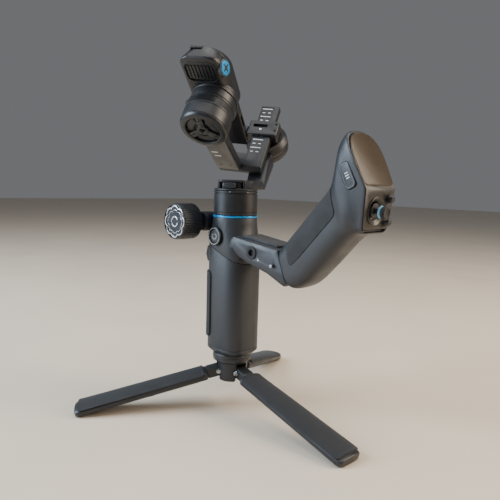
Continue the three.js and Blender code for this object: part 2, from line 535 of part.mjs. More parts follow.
// The arm frame's block: x along the roll axis, y along the tilt axis, z across.
function rollClamp(group) {
  const { front, back, halfLength, halfWidth } = CLAMP;
  const body = block(back, front, -halfLength, halfLength, -halfWidth, halfWidth, 2.5, 1);
  const channel = box(BAR.back - GAP, BAR.front + GAP, -40, 40, -BAR.halfWidth - GAP, BAR.halfWidth + GAP);
  const window = box(BAR.front - 1, front + 5, -5, -0.4, -13, 5);
  const screwWells = [-6, 4].map((y) => alongX(disc(1.7, front - 1.2, front + 4, SMALL_ROUND), y, 15.6));
  add(group, 'roll_clamp', cut(body, channel, window, ...screwWells), GREY_METAL);
  const knob = turned([[1.8, -halfWidth - 1.6], [1.8, -halfWidth - GAP]], SMALL_ROUND);
  const grip = turned([[5, -halfWidth - 7.5], [5, -halfWidth - 1.4]], MEDIUM_ROUND);
  add(group, 'roll_clamp_knob', join(grip, knob).translate(-145.5, 0, 0), BLACK);
}

function crossBar(group) {
  const { front, back, top, end, halfWidth, flangeTop, flangeSide } = BAR;
  const bar = block(back, front, top, end, -halfWidth, halfWidth, 1.2, 0.8);
  const flange = block(back, front, flangeTop, end, flangeSide, -halfWidth + 3, 1.2, 0.8);
  const scaleWell = box(front - 0.5, front + 2, top + 3, 48, -10.5, 4.5);
  const slope = [[front + 1, end - BAR_CHAMFER - 1], [front + 1, end + 1], [front - BAR_CHAMFER - 1, end + 1]];
  add(group, 'cross_bar', cut(join(bar, flange), scaleWell, prism(slope, -60, 30)), GREY_METAL);
}

function sideArm(group) {
  const { thickness, outer, outerAtMotor, low, high } = SIDE_ARM;
  const foot = BAR.front + GAP;
  const outline = [[foot, outer - thickness], [foot, outer], [-50, outerAtMotor], [-20, outerAtMotor],
    [-20, outerAtMotor - 4.6], [-59, outerAtMotor - 4.6], [-69, outerAtMotor - thickness - 1]];
  const options = { depth: high - low - 2.4, bevelThickness: 1.2, bevelSize: 1.2, bevelOffset: -1.2, bevelSegments: 1 };
  const strip = new THREE.ExtrudeGeometry(toShape(outline), options).translate(0, 0, low + 1.2);
  const motor = turned([[TILT.r, TILT.seam], [TILT.r, 81], [TILT.r + 0.5, 82], [TILT.r + 0.5, TILT.cover - GAP]]);
  const place = (g) => g.rotateX(-Math.PI / 2).translate(TILT.x, 0, TILT.z);
  const well = disc(TILT.r - 3, 88, 100);
  add(group, 'side_arm', join(strip, place(cut(motor, well))), BLACK);
  const cover = turned([[TILT.r + 0.2, TILT.cover], [TILT.r - 1.4, TILT.face]]);
  add(group, 'tilt_motor_cover', place(cut(cover, disc(17, TILT.face - 1.6, TILT.face + 2))), GREY_METAL);
  const winding = cut(disc(TILT.r - 3.4, 88 + GAP, TILT.cover - GAP, MEDIUM_ROUND), disc(6, 80, 100, MEDIUM_ROUND));
  add(group, 'tilt_motor_winding', place(winding), SILVER);
}

// ---------------------------------------------------------------- tilt head
function housingOutline(grow = 0, corner = HOUSING.corner) {
  const r = HOUSING.halfWidth + grow;
  return roundedRect(HOUSING.bottom - grow, HOUSING.top + grow, HOUSING.z - r, HOUSING.z + r, corner);
}

// Moves a part drawn about z onto the lock knob's axis, which leans a little forward and outward.
function onLockAxis(geometry) {
  return geometry.rotateY(radians(LOCK.leanForward)).rotateX(radians(-LOCK.leanOut)).translate(LOCK.x, LOCK.y, LOCK.z);
}

function tiltHead(group) {
  const { face, seam: joint, back, z, top, bottom } = HOUSING;
  const place = (g) => g.rotateX(-Math.PI / 2).translate(TILT.x, 0, TILT.z);
  const collar = place(disc(TILT.r - 0.4, face - 4, TILT.seam - GAP));
  const front = slab(housingOutline(), joint + GAP, face, 2.5, 3);
  const square = slab(housingOutline(), joint + GAP, joint + 8);
  const finWell = slab(roundedRect(-7.5, 14.5, z - 16, z + 14, 6), face - 2, face + 2);
  const lockWell = onLockAxis(disc(LOCK.r + 0.5, -LOCK.height - GAP, 12, MEDIUM_ROUND));
  const lockBore = onLockAxis(disc(3 + GAP, -12, 0, SMALL_ROUND));
  const tabWell = box(top - 4.5, top + 3, joint + 0.8, 50, z - 11.5, z + 1.5);
  add(group, 'tilt_housing', cut(join(front, square, collar), finWell, lockWell, lockBore, tabWell), BLACK);
  const tab = block(top - 2.2, top + 1.2, joint + 1.2, joint + 4, z - 11, z + 1, 0.8, 0.5);
  add(group, 'release_tab', tab, SILVER);

  const fins = [];
  for (let i = 0; i < 8; i++) {
    const middle = z - 13.5 + i * 3.6;
    fins.push(box(-4.5, 11, face - 1.7, face - 0.4, middle - 0.9, middle + 0.9));
  }
  const floor = slab(roundedRect(-7.1, 14.1, z - 15.6, z + 13.6, 5.6), face - 1.7, face - 1.2);
  add(group, 'tilt_fins', join(floor, ...fins), BLACK);

  const backOutline = housingOutline(-0.4, HOUSING.halfWidth - 1);
  const backShell = slab(backOutline, back, joint, 3, 3);
  const backSquare = slab(backOutline, back + 4, joint);
  const slopedTop = prism([[top - 2, joint + 0.5], [top - 13, back - 0.5], [top + 20, back - 0.5],
    [top + 20, joint + 0.5]], -60, 20);
  const channel = box(bottom - 5, RAIL.top + RAIL_TRAVEL.in + 2, RAIL.inner - GAP, RAIL.outer + GAP,
    RAIL.low - GAP, RAIL.high + GAP);
  add(group, 'tilt_housing_back', cut(join(backShell, backSquare), slopedTop, channel), BLACK);
}

function railAndLocks(group) {
  const strip = block(RAIL.tip, RAIL.top, RAIL.inner, RAIL.outer, RAIL.low, RAIL.high, 1.2, 0.6);
  const slots = [-88, -112].map((x) => slotCutter(x, (RAIL.inner + RAIL.outer) / 2, 17, 1.9));
  add(group, 'camera_rail', cut(strip, ...slots), GREY_METAL);

  const stem = disc(3, -11, 0, SMALL_ROUND);
  const wheel = turned([[LOCK.r - 0.8, -LOCK.height], [LOCK.r, -LOCK.height + 0.8], [LOCK.r, -0.8],
    [LOCK.r - 0.8, 0]], MEDIUM_ROUND);
  const cross = [box(-5, 5, -0.9, 0.9, -1.2, 2), box(-0.9, 0.9, -5, 5, -1.2, 2)];
  add(group, 'rail_lock_knob', onLockAxis(cut(join(stem, wheel), ...cross)), BLUE);
  const { top, bottom, low, high, thickness } = PLATE;
  const plate = block(bottom, top, HOUSING.back - GAP - thickness, HOUSING.back - GAP, low, high, 2, 1);
  add(group, 'camera_plate', plate, GREY_METAL);
}

// A round-ended slot along x that goes right through along z.
function slotCutter(x, y, length, r) {
  return prism(roundedRect(x - length / 2, x + length / 2, y - r, y + r, r - 0.01), -50, 10);
}

// ---------------------------------------------------------------- assembly
const gimbal = new THREE.Group();
tripodHub(gimbal);
LEG_AZIMUTHS.forEach((azimuth, i) => tripodLeg(gimbal, i + 1, azimuth));
handle(gimbal);
head(gimbal);
handWheel(gimbal);
slingGrip(gimbal);
controlHead(gimbal);
panStator(gimbal);

const panFrame = new THREE.Group();
panFrame.rotation.z = radians(PAN_ANGLE);
gimbal.add(panFrame);
panRotor(panFrame);

const rollAxisFrame = new THREE.Group();
rollAxisFrame.position.z = CENTRE_Z;
rollAxisFrame.rotation.y = radians(-ROLL_AXIS_RISE);
panFrame.add(rollAxisFrame);

const armFrame = new THREE.Group();
armFrame.rotation.x = radians(ROLL_ANGLE);
rollAxisFrame.add(armFrame);
rollMotor(rollAxisFrame, armFrame);
rollClamp(armFrame);
crossBar(armFrame);
sideArm(armFrame);
tiltHead(armFrame);
railAndLocks(armFrame);

gimbal.updateMatrixWorld(true);
const bounds = new THREE.Box3().setFromObject(gimbal, true);
const middle = bounds.getCenter(new THREE.Vector3());
gimbal.position.set(-middle.x, -middle.y, -bounds.min.z);
gimbal.updateMatrixWorld(true);

export default gimbal;
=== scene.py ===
# The looks of the hand-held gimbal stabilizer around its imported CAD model.
# Pieces are drawn in millimetres in the frame of what carries them and are then placed in metres.
import json
import math

import bmesh
import bpy
from mathutils import Matrix, Vector


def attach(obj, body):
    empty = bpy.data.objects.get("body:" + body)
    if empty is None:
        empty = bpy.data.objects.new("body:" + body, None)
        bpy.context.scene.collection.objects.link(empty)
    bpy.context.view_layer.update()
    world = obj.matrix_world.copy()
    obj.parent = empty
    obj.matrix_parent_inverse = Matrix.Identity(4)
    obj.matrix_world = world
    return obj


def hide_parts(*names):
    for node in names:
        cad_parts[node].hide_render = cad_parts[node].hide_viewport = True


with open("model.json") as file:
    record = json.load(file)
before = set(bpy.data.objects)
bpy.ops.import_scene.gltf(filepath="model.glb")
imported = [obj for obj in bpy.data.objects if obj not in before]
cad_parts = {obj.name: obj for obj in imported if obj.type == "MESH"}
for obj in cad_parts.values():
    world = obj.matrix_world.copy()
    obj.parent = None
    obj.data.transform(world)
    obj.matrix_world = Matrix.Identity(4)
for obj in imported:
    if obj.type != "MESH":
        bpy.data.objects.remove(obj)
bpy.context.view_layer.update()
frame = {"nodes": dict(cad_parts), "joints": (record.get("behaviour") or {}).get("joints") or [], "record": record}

NODES = frame["nodes"]
JOINTS = {j["name"]: j for j in frame["joints"]}
MM = 0.001

# ------------------------------------------------------------------ frames
PAN_JOINT_Z = 0.237          # the pan joint's height in metres, in the frame that the device is drawn in
SHIFT = Vector(JOINTS["pan_turn"]["pos_m"]) - Vector((0, 0, PAN_JOINT_Z))
SCALE = Matrix.Scale(MM, 4)
DEVICE = Matrix.Translation(SHIFT) @ SCALE


def axes_frame(origin, x, y, z):
    """The frame with those three axes whose unit is a millimetre."""
    m = Matrix((x, y, z)).transposed().to_4x4()
    m.translation = origin
    return m @ SCALE


centre = Vector(JOINTS["roll_turn"]["pos_m"])
F_AXIS = Vector(JOINTS["roll_turn"]["axis"]).normalized()
L_AXIS = Vector(JOINTS["tilt_turn"]["axis"]).normalized()
U_AXIS = F_AXIS.cross(L_AXIS).normalized()
ARM = axes_frame(centre, F_AXIS, L_AXIS, U_AXIS)
Z = Vector((0, 0, 1))
PAN_Y = Vector(JOINTS["pan_latch_slide"]["axis"]).normalized()
PAN_X = PAN_Y.cross(Z).normalized()
PAN = axes_frame(SHIFT, PAN_X, PAN_Y, Z)
ROLL = axes_frame(centre, F_AXIS, PAN_Y, F_AXIS.cross(PAN_Y).normalized())


def shift(x, y, z):
    return Matrix.Translation((x, y, z))


def turn(degrees, axis):
    return Matrix.Rotation(math.radians(degrees), 4, axis)


ALONG_X = turn(90, "Y")      # a part drawn about z turned to lie along x
ALONG_MINUS_Y = turn(90, "X")
ALONG_Y = turn(-90, "X")


# ------------------------------------------------------------------ mesh drawing
def joined(*parts):
    verts, faces = [], []
    for v, f in parts:
        start = len(verts)
        verts += list(v)
        faces += [[i + start for i in face] for face in f]
    return verts, faces


def moved(part, matrix):
    return [matrix @ Vector(v) for v in part[0]], part[1]


def lathe(profile, n=72, wave=None):
    """A turned part about z; each profile entry is (radius, height) or (radius, height, share of the wave)."""
    verts, faces = [], []
    for entry in profile:
        r, z = entry[0], entry[1]
        share = entry[2] if len(entry) > 2 else 0
        for i in range(n):
            a = 2 * math.pi * i / n
            grow = wave(a) * share if wave else 0
            verts.append(((r + grow) * math.cos(a), (r + grow) * math.sin(a), z))
    for k in range(len(profile) - 1):
        for i in range(n):
            j = (i + 1) % n
            faces.append([k * n + i, k * n + j, (k + 1) * n + j, (k + 1) * n + i])
    return verts, faces, n


def solid_lathe(profile, n=72, wave=None):
    verts, faces, n = lathe(profile, n, wave)
    faces.append(list(range(n))[::-1])
    last = (len(profile) - 1) * n
    faces.append([last + i for i in range(n)])
    return verts, faces


def ring_lathe(profile, n=72, wave=None):
    """A turned ring: the profile is a closed loop."""
    verts, faces, n = lathe(profile, n, wave)
    last = (len(profile) - 1) * n
    for i in range(n):
        j = (i + 1) % n
        faces.append([last + i, last + j, j, i])
    return verts, faces


def prism(points, z0, z1):
    n = len(points)
    verts = [(x, y, z0) for x, y in points] + [(x, y, z1) for x, y in points]
    faces = [list(range(n))[::-1], [n + i for i in range(n)]]
    faces += [[i, (i + 1) % n, n + (i + 1) % n, n + i] for i in range(n)]
    return verts, faces


def box(x0, x1, y0, y1, z0, z1):
    return prism([(x0, y0), (x1, y0), (x1, y1), (x0, y1)], z0, z1)


def rounded(x0, x1, y0, y1, r, steps=5):
    points = []
    for cx, cy, start in ((x1 - r, y1 - r, 0), (x0 + r, y1 - r, 90), (x0 + r, y0 + r, 180), (x1 - r, y0 + r, 270)):
        for s in range(steps + 1):
            a = math.radians(start + 90 * s / steps)
            points.append((cx + r * math.cos(a), cy + r * math.sin(a)))
    return points


def loft(rings):
    """A closed skin over rings of equally many points, flat at both ends."""
    n = len(rings[0])
    verts = [p for ring in rings for p in ring]
    faces = []
    for k in range(len(rings) - 1):
        for i in range(n):
            j = (i + 1) % n
            faces.append([k * n + i, k * n + j, (k + 1) * n + j, (k + 1) * n + i])
    last = (len(rings) - 1) * n
    faces += [list(range(n))[::-1], [last + i for i in range(n)]]
    return verts, faces


# ------------------------------------------------------------------ materials
NOISE_LOW, NOISE_HIGH = 0.3, 0.7     # most values of a noise texture lie between these
SMUDGE_SCALE = 2.3                   # how much finer the gloss varies than the colour
RELIEF_DEPTH = 0.0004                # metres


def colour(r, g, b):
    return (r, g, b, 1.0)


def new_material(name, base, rough, metallic=0.0, specular=0.5, variation=0.12, patches=25.0, grain=1400.0,
                 bump=0.12, spread=0.08, stretch=(1, 1, 1), sheen=0.0, weave=None):
    """A material with uneven colour, uneven gloss and a fine surface grain."""
    mat = bpy.data.materials.new(name)
    mat.use_nodes = True
    nodes, links = mat.node_tree.nodes, mat.node_tree.links
    shader = nodes["Principled BSDF"]
    shader.inputs["Metallic"].default_value = metallic
    shader.inputs["Specular IOR Level"].default_value = specular
    shader.inputs["Sheen Weight"].default_value = sheen
    where = nodes.new("ShaderNodeTexCoord")
    mapping = nodes.new("ShaderNodeMapping")
    mapping.inputs["Scale"].default_value = stretch
    links.new(where.outputs["Object"], mapping.inputs["Vector"])

    def noise(scale, detail, vector):
        node = nodes.new("ShaderNodeTexNoise")
        node.inputs["Scale"].default_value = scale
        node.inputs["Detail"].default_value = detail
        links.new(vector, node.inputs["Vector"])
        return node.outputs["Fac"]

    def ranged(value, low, high):
        node = nodes.new("ShaderNodeMapRange")
        node.inputs["From Min"].default_value = NOISE_LOW
        node.inputs["From Max"].default_value = NOISE_HIGH
        node.inputs["To Min"].default_value = low
        node.inputs["To Max"].default_value = high
        links.new(value, node.inputs["Value"])
        return node.outputs["Result"]

    large = noise(patches, 4, where.outputs["Object"])
    mix = nodes.new("ShaderNodeMix")
    mix.data_type = "RGBA"
    mix.inputs["A"].default_value = colour(*[c * (1 - variation) for c in base])
    mix.inputs["B"].default_value = colour(*[min(1, c * (1 + variation)) for c in base])
    links.new(ranged(large, 0, 1), mix.inputs["Factor"])
    links.new(mix.outputs["Result"], shader.inputs["Base Color"])
    smudge = noise(patches * SMUDGE_SCALE, 5, where.outputs["Object"])
    links.new(ranged(smudge, max(0.02, rough - spread), min(1, rough + spread)), shader.inputs["Roughness"])
    height = noise(grain, 2, mapping.outputs["Vector"])
    if weave:
        kind, scale, amount = weave
        pattern = nodes.new("ShaderNodeTexVoronoi" if kind == "cells" else "ShaderNodeTexWave")
        pattern.inputs["Scale"].default_value = scale
        links.new(mapping.outputs["Vector"], pattern.inputs["Vector"])
        add = nodes.new("ShaderNodeMath")
        add.operation = "MULTIPLY_ADD"
        add.inputs[1].default_value = amount
        links.new(pattern.outputs["Distance" if kind == "cells" else "Fac"], add.inputs[0])
        links.new(height, add.inputs[2])
        height = add.outputs[0]
    relief = nodes.new("ShaderNodeBump")
    relief.inputs["Strength"].default_value = bump
    relief.inputs["Distance"].default_value = RELIEF_DEPTH
    links.new(height, relief.inputs["Height"])
    links.new(relief.outputs["Normal"], shader.inputs["Normal"])
    return mat


SLOT_MATERIALS = {
    "body_black": new_material("body_black", (0.015, 0.018, 0.024), 0.44, grain=2200, bump=0.18),
    "leg_black": new_material("leg_black", (0.015, 0.017, 0.021), 0.42, grain=2000, bump=0.16),
    "motor_black": new_material("motor_black", (0.013, 0.0145, 0.018), 0.38, metallic=0.2, grain=1800, bump=0.12),
    "grey_metal": new_material("grey_metal", (0.028, 0.029, 0.032), 0.38, metallic=0.5, stretch=(1, 1, 6), bump=0.14),
    "face_black": new_material("face_black", (0.02, 0.018, 0.016), 0.42, specular=0.45, grain=1500, bump=0.05),
    "rubber": new_material("rubber", (0.011, 0.012, 0.0145), 0.68, specular=0.35, bump=0.3, grain=1600, sheen=0.1,
                           weave=("cells", 900, 0.8)),
    "blue_metal": new_material("blue_metal", (0.012, 0.27, 0.62), 0.3, metallic=0.55, bump=0.08, variation=0.08),
    "pale_blue": new_material("pale_blue", (0.2, 0.52, 0.78), 0.35, bump=0.05),
    "silver_metal": new_material("silver_metal", (0.42, 0.44, 0.47), 0.34, metallic=0.85, stretch=(1, 6, 1), bump=0.1),
    "screen_glass": new_material("screen_glass", (0.05, 0.036, 0.022), 0.28, specular=0.2, spread=0.02, bump=0.0,
                                 grain=2000),
    "winding_copper": new_material("winding_copper", (0.5, 0.22, 0.09), 0.35, metallic=0.9, weave=("bands", 700, 0.6)),
    "board_green": new_material("board_green", (0.012, 0.1, 0.04), 0.4, weave=("cells", 500, 0.5)),
    "cell_wrap": new_material("cell_wrap", (0.03, 0.14, 0.34), 0.3, variation=0.05),
    "steel": new_material("steel", (0.38, 0.39, 0.41), 0.28, metallic=1.0, stretch=(1, 1, 12), bump=0.1),
}
WHITE_MARK = new_material("white_mark", (0.72, 0.73, 0.72), 0.5, bump=0.08, variation=0.06)
# Near-black painted shade, laid where grooves, pits and recesses would fall into shadow.
PAINTED_RECESS_SHADE = new_material("painted_recess_shade", (0.006, 0.006, 0.007), 0.7, bump=0.2)


# ------------------------------------------------------------------ modifiers and pieces
WELD_DISTANCE = 2e-6                 # metres
SMOOTH_ANGLE = 32                    # an edge sharper than this many degrees is shaded sharp
BEVEL_ANGLE = 34                     # an edge sharper than this many degrees is rounded
FLAT_ANGLE = 1.2                     # faces closer than this many degrees become one
BEVEL_STEPS = 3


def smoothing_group():
    """Merges the doubled vertices of an imported mesh and shades it smooth except across sharp edges."""
    group = bpy.data.node_groups.new("smooth_but_sharp", "GeometryNodeTree")
    group.interface.new_socket("Geometry", in_out="INPUT", socket_type="NodeSocketGeometry")
    group.interface.new_socket("Geometry", in_out="OUTPUT", socket_type="NodeSocketGeometry")
    nodes, links = group.nodes, group.links
    start, end = nodes.new("NodeGroupInput"), nodes.new("NodeGroupOutput")
    weld = nodes.new("GeometryNodeMergeByDistance")
    weld.inputs["Distance"].default_value = WELD_DISTANCE
    angle = nodes.new("GeometryNodeInputMeshEdgeAngle")
    flat = nodes.new("ShaderNodeMath")
    flat.operation = "LESS_THAN"
    flat.inputs[1].default_value = math.radians(SMOOTH_ANGLE)
    faces = nodes.new("GeometryNodeSetShadeSmooth")
    faces.domain = "FACE"
    edges = nodes.new("GeometryNodeSetShadeSmooth")
    edges.domain = "EDGE"
    links.new(start.outputs[0], weld.inputs["Geometry"])
    links.new(weld.outputs["Geometry"], faces.inputs["Geometry"])
    links.new(faces.outputs["Geometry"], edges.inputs["Geometry"])
    links.new(angle.outputs["Unsigned Angle"], flat.inputs[0])
    links.new(flat.outputs[0], edges.inputs["Shade Smooth"])
    links.new(edges.outputs["Geometry"], end.inputs[0])
    return group


SMOOTH = smoothing_group()


def soften(obj, width):
    """Rounds an object's sharp edges by width in millimetres and shades the rest smooth."""
    weld = obj.modifiers.new("weld", "WELD")
    weld.merge_threshold = WELD_DISTANCE
    dissolve = obj.modifiers.new("flatten", "DECIMATE")
    dissolve.decimate_type = "DISSOLVE"
    dissolve.angle_limit = math.radians(FLAT_ANGLE)
    if width:
        bevel = obj.modifiers.new("bevel", "BEVEL")
        bevel.width = width * MM
        bevel.segments = BEVEL_STEPS
        bevel.limit_method = "ANGLE"
        bevel.angle_limit = math.radians(BEVEL_ANGLE)
        bevel.harden_normals = False
    shade = obj.modifiers.new("shade", "NODES")
    shade.node_group = SMOOTH


def mesh_object(name, part, place, merge):
    """An object with the part's mesh, its doubled vertices merged and its faces turned outwards."""
    mesh = bpy.data.meshes.new(name)
    mesh.from_pydata([place @ Vector(v) for v in part[0]], [], part[1])
    bm = bmesh.new()
    bm.from_mesh(mesh)
    bmesh.ops.remove_doubles(bm, verts=bm.verts, dist=merge)
    bmesh.ops.recalc_face_normals(bm, faces=bm.faces)
    bm.to_mesh(mesh)
    bm.free()
    obj = bpy.data.objects.new(name, mesh)
    bpy.context.scene.collection.objects.link(obj)
    return obj


def piece(name, part, place, body, slot, bevel=0.25, replaces=(), material=None):
    """Adds a mesh drawn in millimetres in the frame place, riding on that body."""
    obj = mesh_object(name, part, place, merge=1e-7)
    mesh = obj.data
    mesh.polygons.foreach_set("use_smooth", [True] * len(mesh.polygons))
    mesh.materials.append(material or SLOT_MATERIALS[slot])
    soften(obj, bevel)
    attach(obj, body)
    if replaces:
        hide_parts(*replaces)
    return obj


def carved(part, cutters):
    """The part with the cutters taken out of it, all drawn in one frame."""
    base, *tools = [mesh_object("tool", drawn, Matrix.Identity(4), merge=1e-4) for drawn in (part, *cutters)]
    for tool in tools:
        boolean = base.modifiers.new("cut", "BOOLEAN")
        boolean.operation, boolean.solver, boolean.object = "DIFFERENCE", "EXACT", tool
    evaluated = base.evaluated_get(bpy.context.evaluated_depsgraph_get())
    mesh = evaluated.to_mesh()
    result = [v.co.copy() for v in mesh.vertices], [list(f.vertices) for f in mesh.polygons]
    evaluated.to_mesh_clear()
    for obj in (base, *tools):
        bpy.data.objects.remove(obj)
    return result


def screw(name, place, body, r=1.5, depth=0.9):
    """A socket screw head whose top is at z = 0 of its place."""
    head = ring_lathe([(r, -1.2), (r, -0.25), (r - 0.25, 0), (r * 0.52, 0), (r * 0.46, -depth),
                       (r * 0.2, -depth - 0.3)], 24)
    piece(name, head, place, body, "steel", bevel=0, material=SLOT_MATERIALS["grey_metal"])


# ------------------------------------------------------------------ carried-over CAD nodes
BEVELS = {
    "handle_shell": 0.5, "head_shell": 0.9, "grip_shell": 0.6, "control_shell": 0.9, "tripod_hub": 0.5, "pan_arm": 0.8,
    "side_arm": 0.7, "cross_bar": 0.5, "roll_clamp": 0.6, "tilt_housing": 0.6, "tilt_housing_back": 0.8,
    "camera_rail": 0.4, "camera_plate": 0.6, "wheel_bracket": 0.6, "trigger": 0.6, "handle_end_cap": 0.4,
}
OTHER_BEVEL = 0.2
for entry in frame["record"]["subparts"]:
    node = NODES[entry["node"]]
    node.data.materials.clear()
    slot_name = "grey_metal" if entry["node"] == "release_tab" else entry["material_slot"]
    node.data.materials.append(SLOT_MATERIALS[slot_name])
    soften(node, BEVELS.get(entry["node"], OTHER_BEVEL))


# ------------------------------------------------------------------ pads that follow a surface
def pad(surface, u_range, v_range, counts, corner, top, relief=None, base=0.35, edge=1.0):
    """A closed pad on surface(u, v, lift), with rounded corners and a rounded edge; relief adds to its height."""
    (u0, u1), (v0, v1), (nu, nv) = u_range, v_range, counts
    rings = []
    for i in range(nu + 1):
        u = u0 + (u1 - u0) * i / nu
        inside = min(u - u0, u1 - u)
        reach = max(0.0, corner - inside)
        pulled = corner - math.sqrt(max(0.0, corner * corner - reach * reach))
        low, high = v0 + pulled, v1 - pulled
        upper, lower = [], []
        for k in range(nv + 1):
            v = low + (high - low) * k / nv
            depth = min(inside, v - low, high - v)
            rise = math.sqrt(max(0.0, 1 - (1 - min(depth / edge, 1)) ** 2))
            lift = base + (top - base) * rise
            if relief and depth > edge:
                lift += relief(u, v, depth)
            upper.append(surface(u, v, lift))
            lower.append(surface(u, v, base - 0.02))
        rings.append(upper + lower[::-1])
    return loft(rings)


# ------------------------------------------------------------------ tripod legs
LEG_PIVOT_R, LEG_PIVOT_Z, LEG_TIP_R, LEG_TIP_Z = 15, 40, 162, 4.2
LEG_WIDTH, LEG_HEIGHT = 31, 10
ARCH_BASE, ARCH_RISE, ARCH_TURN, ARCH_STEPS = 0.1, 0.4, 0.78, 28
LEG_LENGTH = math.hypot(LEG_TIP_R - LEG_PIVOT_R, LEG_PIVOT_Z - LEG_TIP_Z)
LEG_SLOPE = math.atan2(LEG_PIVOT_Z - LEG_TIP_Z, LEG_TIP_R - LEG_PIVOT_R)


def leg_half_width(x):
    return (0.39 + 0.11 * x / LEG_LENGTH) * LEG_WIDTH


def leg_height(x):
    return (1.1 - 0.15 * x / LEG_LENGTH) * LEG_HEIGHT


def leg_top(x, v, lift):
    """A point above the arched top of a leg; v is the distance round the arch from its crown."""
    half, height = leg_half_width(x), leg_height(x)
    t = math.pi / 2 - v / (ARCH_TURN * half)
    return (x, (half + lift) * math.cos(t), ARCH_BASE * height + (ARCH_RISE * height + lift) * math.sin(t))


def leg_pad_relief(x, v, depth):
    if depth < 2.6:
        return 0.0
    weave = math.sin(2.1 * (x + v)) * math.sin(2.1 * (x - v))
    return -0.4 + 0.16 * weave


def leg_side(x0, x1, out, low, high, side):
    """A strip along one side of a leg."""
    steps = 20
    rings = []
    for i in range(steps + 1):
        x = x0 + (x1 - x0) * i / steps
        y = leg_half_width(x)
        rings.append([(x, side * (y - 0.6), low), (x, side * (y + out), low), (x, side * (y + out), high),
                      (x, side * (y - 0.6), high)])
    return loft(rings)


def leg_section(x, scale):
    """One cross-section of a leg: arched above, flat with rounded corners below."""
    half, height = leg_half_width(x) * scale, leg_height(x) * (0.4 + 0.6 * scale)
    ring = []
    for i in range(ARCH_STEPS + 1):
        t = math.pi * i / ARCH_STEPS
        ring.append((x, half * math.cos(t), height * (ARCH_BASE + ARCH_RISE * math.sin(t))))
    corner = [(1, -0.14), (0.97, -0.27), (0.88, -0.39), (0.74, -0.47), (0.6, -0.5)]
    ring += [(x, half * -y, height * z) for y, z in corner]
    ring += [(x, half * y, height * z) for y, z in reversed(corner)]
    return ring


def leg_shell():
    """A whole leg, rounded off at both ends, with the tongue that turns on the hub's pin."""
    start, tip = 12.5, 5.0
    stations = [(start + 2.5 * (1 - math.cos(a)), 0.82 + 0.18 * math.sin(a)) for a in (0, 0.4, 0.8, 1.2, math.pi / 2)]
    stations += [(20 + 12 * i, 1) for i in range(11)]
    stations += [(LEG_LENGTH - tip * (1 - math.sin(a)), 0.66 + 0.34 * math.cos(a))
                 for a in (0, 0.35, 0.7, 1.05, 1.3, 1.5)]
    body_part = loft([leg_section(x, scale) for x, scale in stations])
    tongue = moved(prism(rounded(-5.2, 15, -5.2, 5.2, 5.1, 10), -6, 6), turn(90, "X"))
    return joined(body_part, tongue)


PAD_REACH = 15.2             # half the width of a leg's pad, round the arch
TOOTH_START, TOOTH_STEP, TEETH_END = 24.0, 2.3, 34
FOOT_AT = 74
for number in (1, 2, 3):
    joint = JOINTS[f"leg_{number}_fold"]
    across = Vector(joint["axis"]).normalized()
    along = across.cross(Z) * math.cos(LEG_SLOPE) - Z * math.sin(LEG_SLOPE)
    place = axes_frame(Vector(joint["pos_m"]), along, across, along.cross(across))
    body = f"leg_{number}"
    piece(f"leg_shell_{number}", leg_shell(), place, body, "leg_black", bevel=0.3, replaces=[f"leg_{number}"])
    top_pad = pad(leg_top, (15, LEG_LENGTH - 3), (-PAD_REACH, PAD_REACH), (150, 38), 7, 1.85, leg_pad_relief,
                  base=0.05, edge=0.9)
    piece(f"leg_pad_top_{number}", top_pad, place, body, "rubber", bevel=0, replaces=[f"leg_pad_{number}"])
    strips = [leg_side(18, LEG_LENGTH - 5, 0.3, -1.6, 1.5, side) for side in (-1, 1)]
    piece(f"leg_side_strips_{number}", joined(*strips), place, body, "grey_metal", bevel=0.12)
    teeth = []
    for side in (-1, 1):
        x = TOOTH_START
        while x < LEG_LENGTH - TEETH_END:
            y = side * 0.58 * leg_half_width(x)
            floor_z = -0.5 * leg_height(x) + 0.2
            tooth = prism([(x, floor_z), (x + 1.3, floor_z), (x + 0.65, floor_z - 1.1)], -1.1, 1.1)
            teeth.append(moved(tooth, shift(0, y, 0) @ turn(90, "X")))
            x += TOOTH_STEP
    foot = [(-3.5, 0.4), (3.5, 0.4), (2.4, -1.4), (-2.4, -1.4)]
    teeth.append(moved(prism(foot, -7, 7), shift(FOOT_AT, 0, -0.5 * leg_height(FOOT_AT)) @ turn(90, "X")))
    piece(f"leg_teeth_{number}", joined(*teeth), place, body, "rubber", bevel=0.1)
    for side in (-1, 1):
        cap = ring_lathe([(2.9, 6.7), (2.9, 7.1), (2.4, 7.5), (1.5, 7.5), (1.3, 6.9)], 32)
        end = "a" if side < 0 else "b"
        piece(f"leg_hinge_cap_{number}_{end}", cap, place @ turn(-90 * side, "X"), "handle", "steel", bevel=0)

piece("hub_rings", ring_lathe([(20.2, 55.6), (20.7, 56.0), (20.7, 56.8), (20.2, 57.2)], 96), DEVICE, "handle",
      "leg_black", bevel=0)

# ------------------------------------------------------------------ handle
HANDLE_X, HANDLE_Y, HANDLE_POWER = 26, 22.5, 2.9
HANDLE_RADIUS = 24.5         # turns a distance round the handle into an angle


def handle_outline(t, grow, z):
    """The point of the handle's outline in the direction t, moved out by grow."""
    c, s = math.cos(t), math.sin(t)
    x = (HANDLE_X + grow) * math.copysign(abs(c) ** (2 / HANDLE_POWER), c)
    y = (HANDLE_Y + grow) * math.copysign(abs(s) ** (2 / HANDLE_POWER), s)
    return (x, y, z)


def handle_point(z, v, lift):
    """A point on the front of the handle, v millimetres round from the middle of its front."""
    return handle_outline(math.pi + v / HANDLE_RADIUS, lift, z)


def front_relief(z, v, depth):
    if depth < 2.4:
        return 0.0
    if depth < 3.2:
        return -0.7
    return -0.18 + 0.12 * math.sin(2 * math.pi * v / 1.6)


front = pad(handle_point, (76.3, 147.7), (-31.5, 31.5), (60, 240), 6, 1.7, front_relief, base=0.3)
piece("front_grip_rubber", front, DEVICE, "handle", "rubber", bevel=0, replaces=["front_grip_panel"])


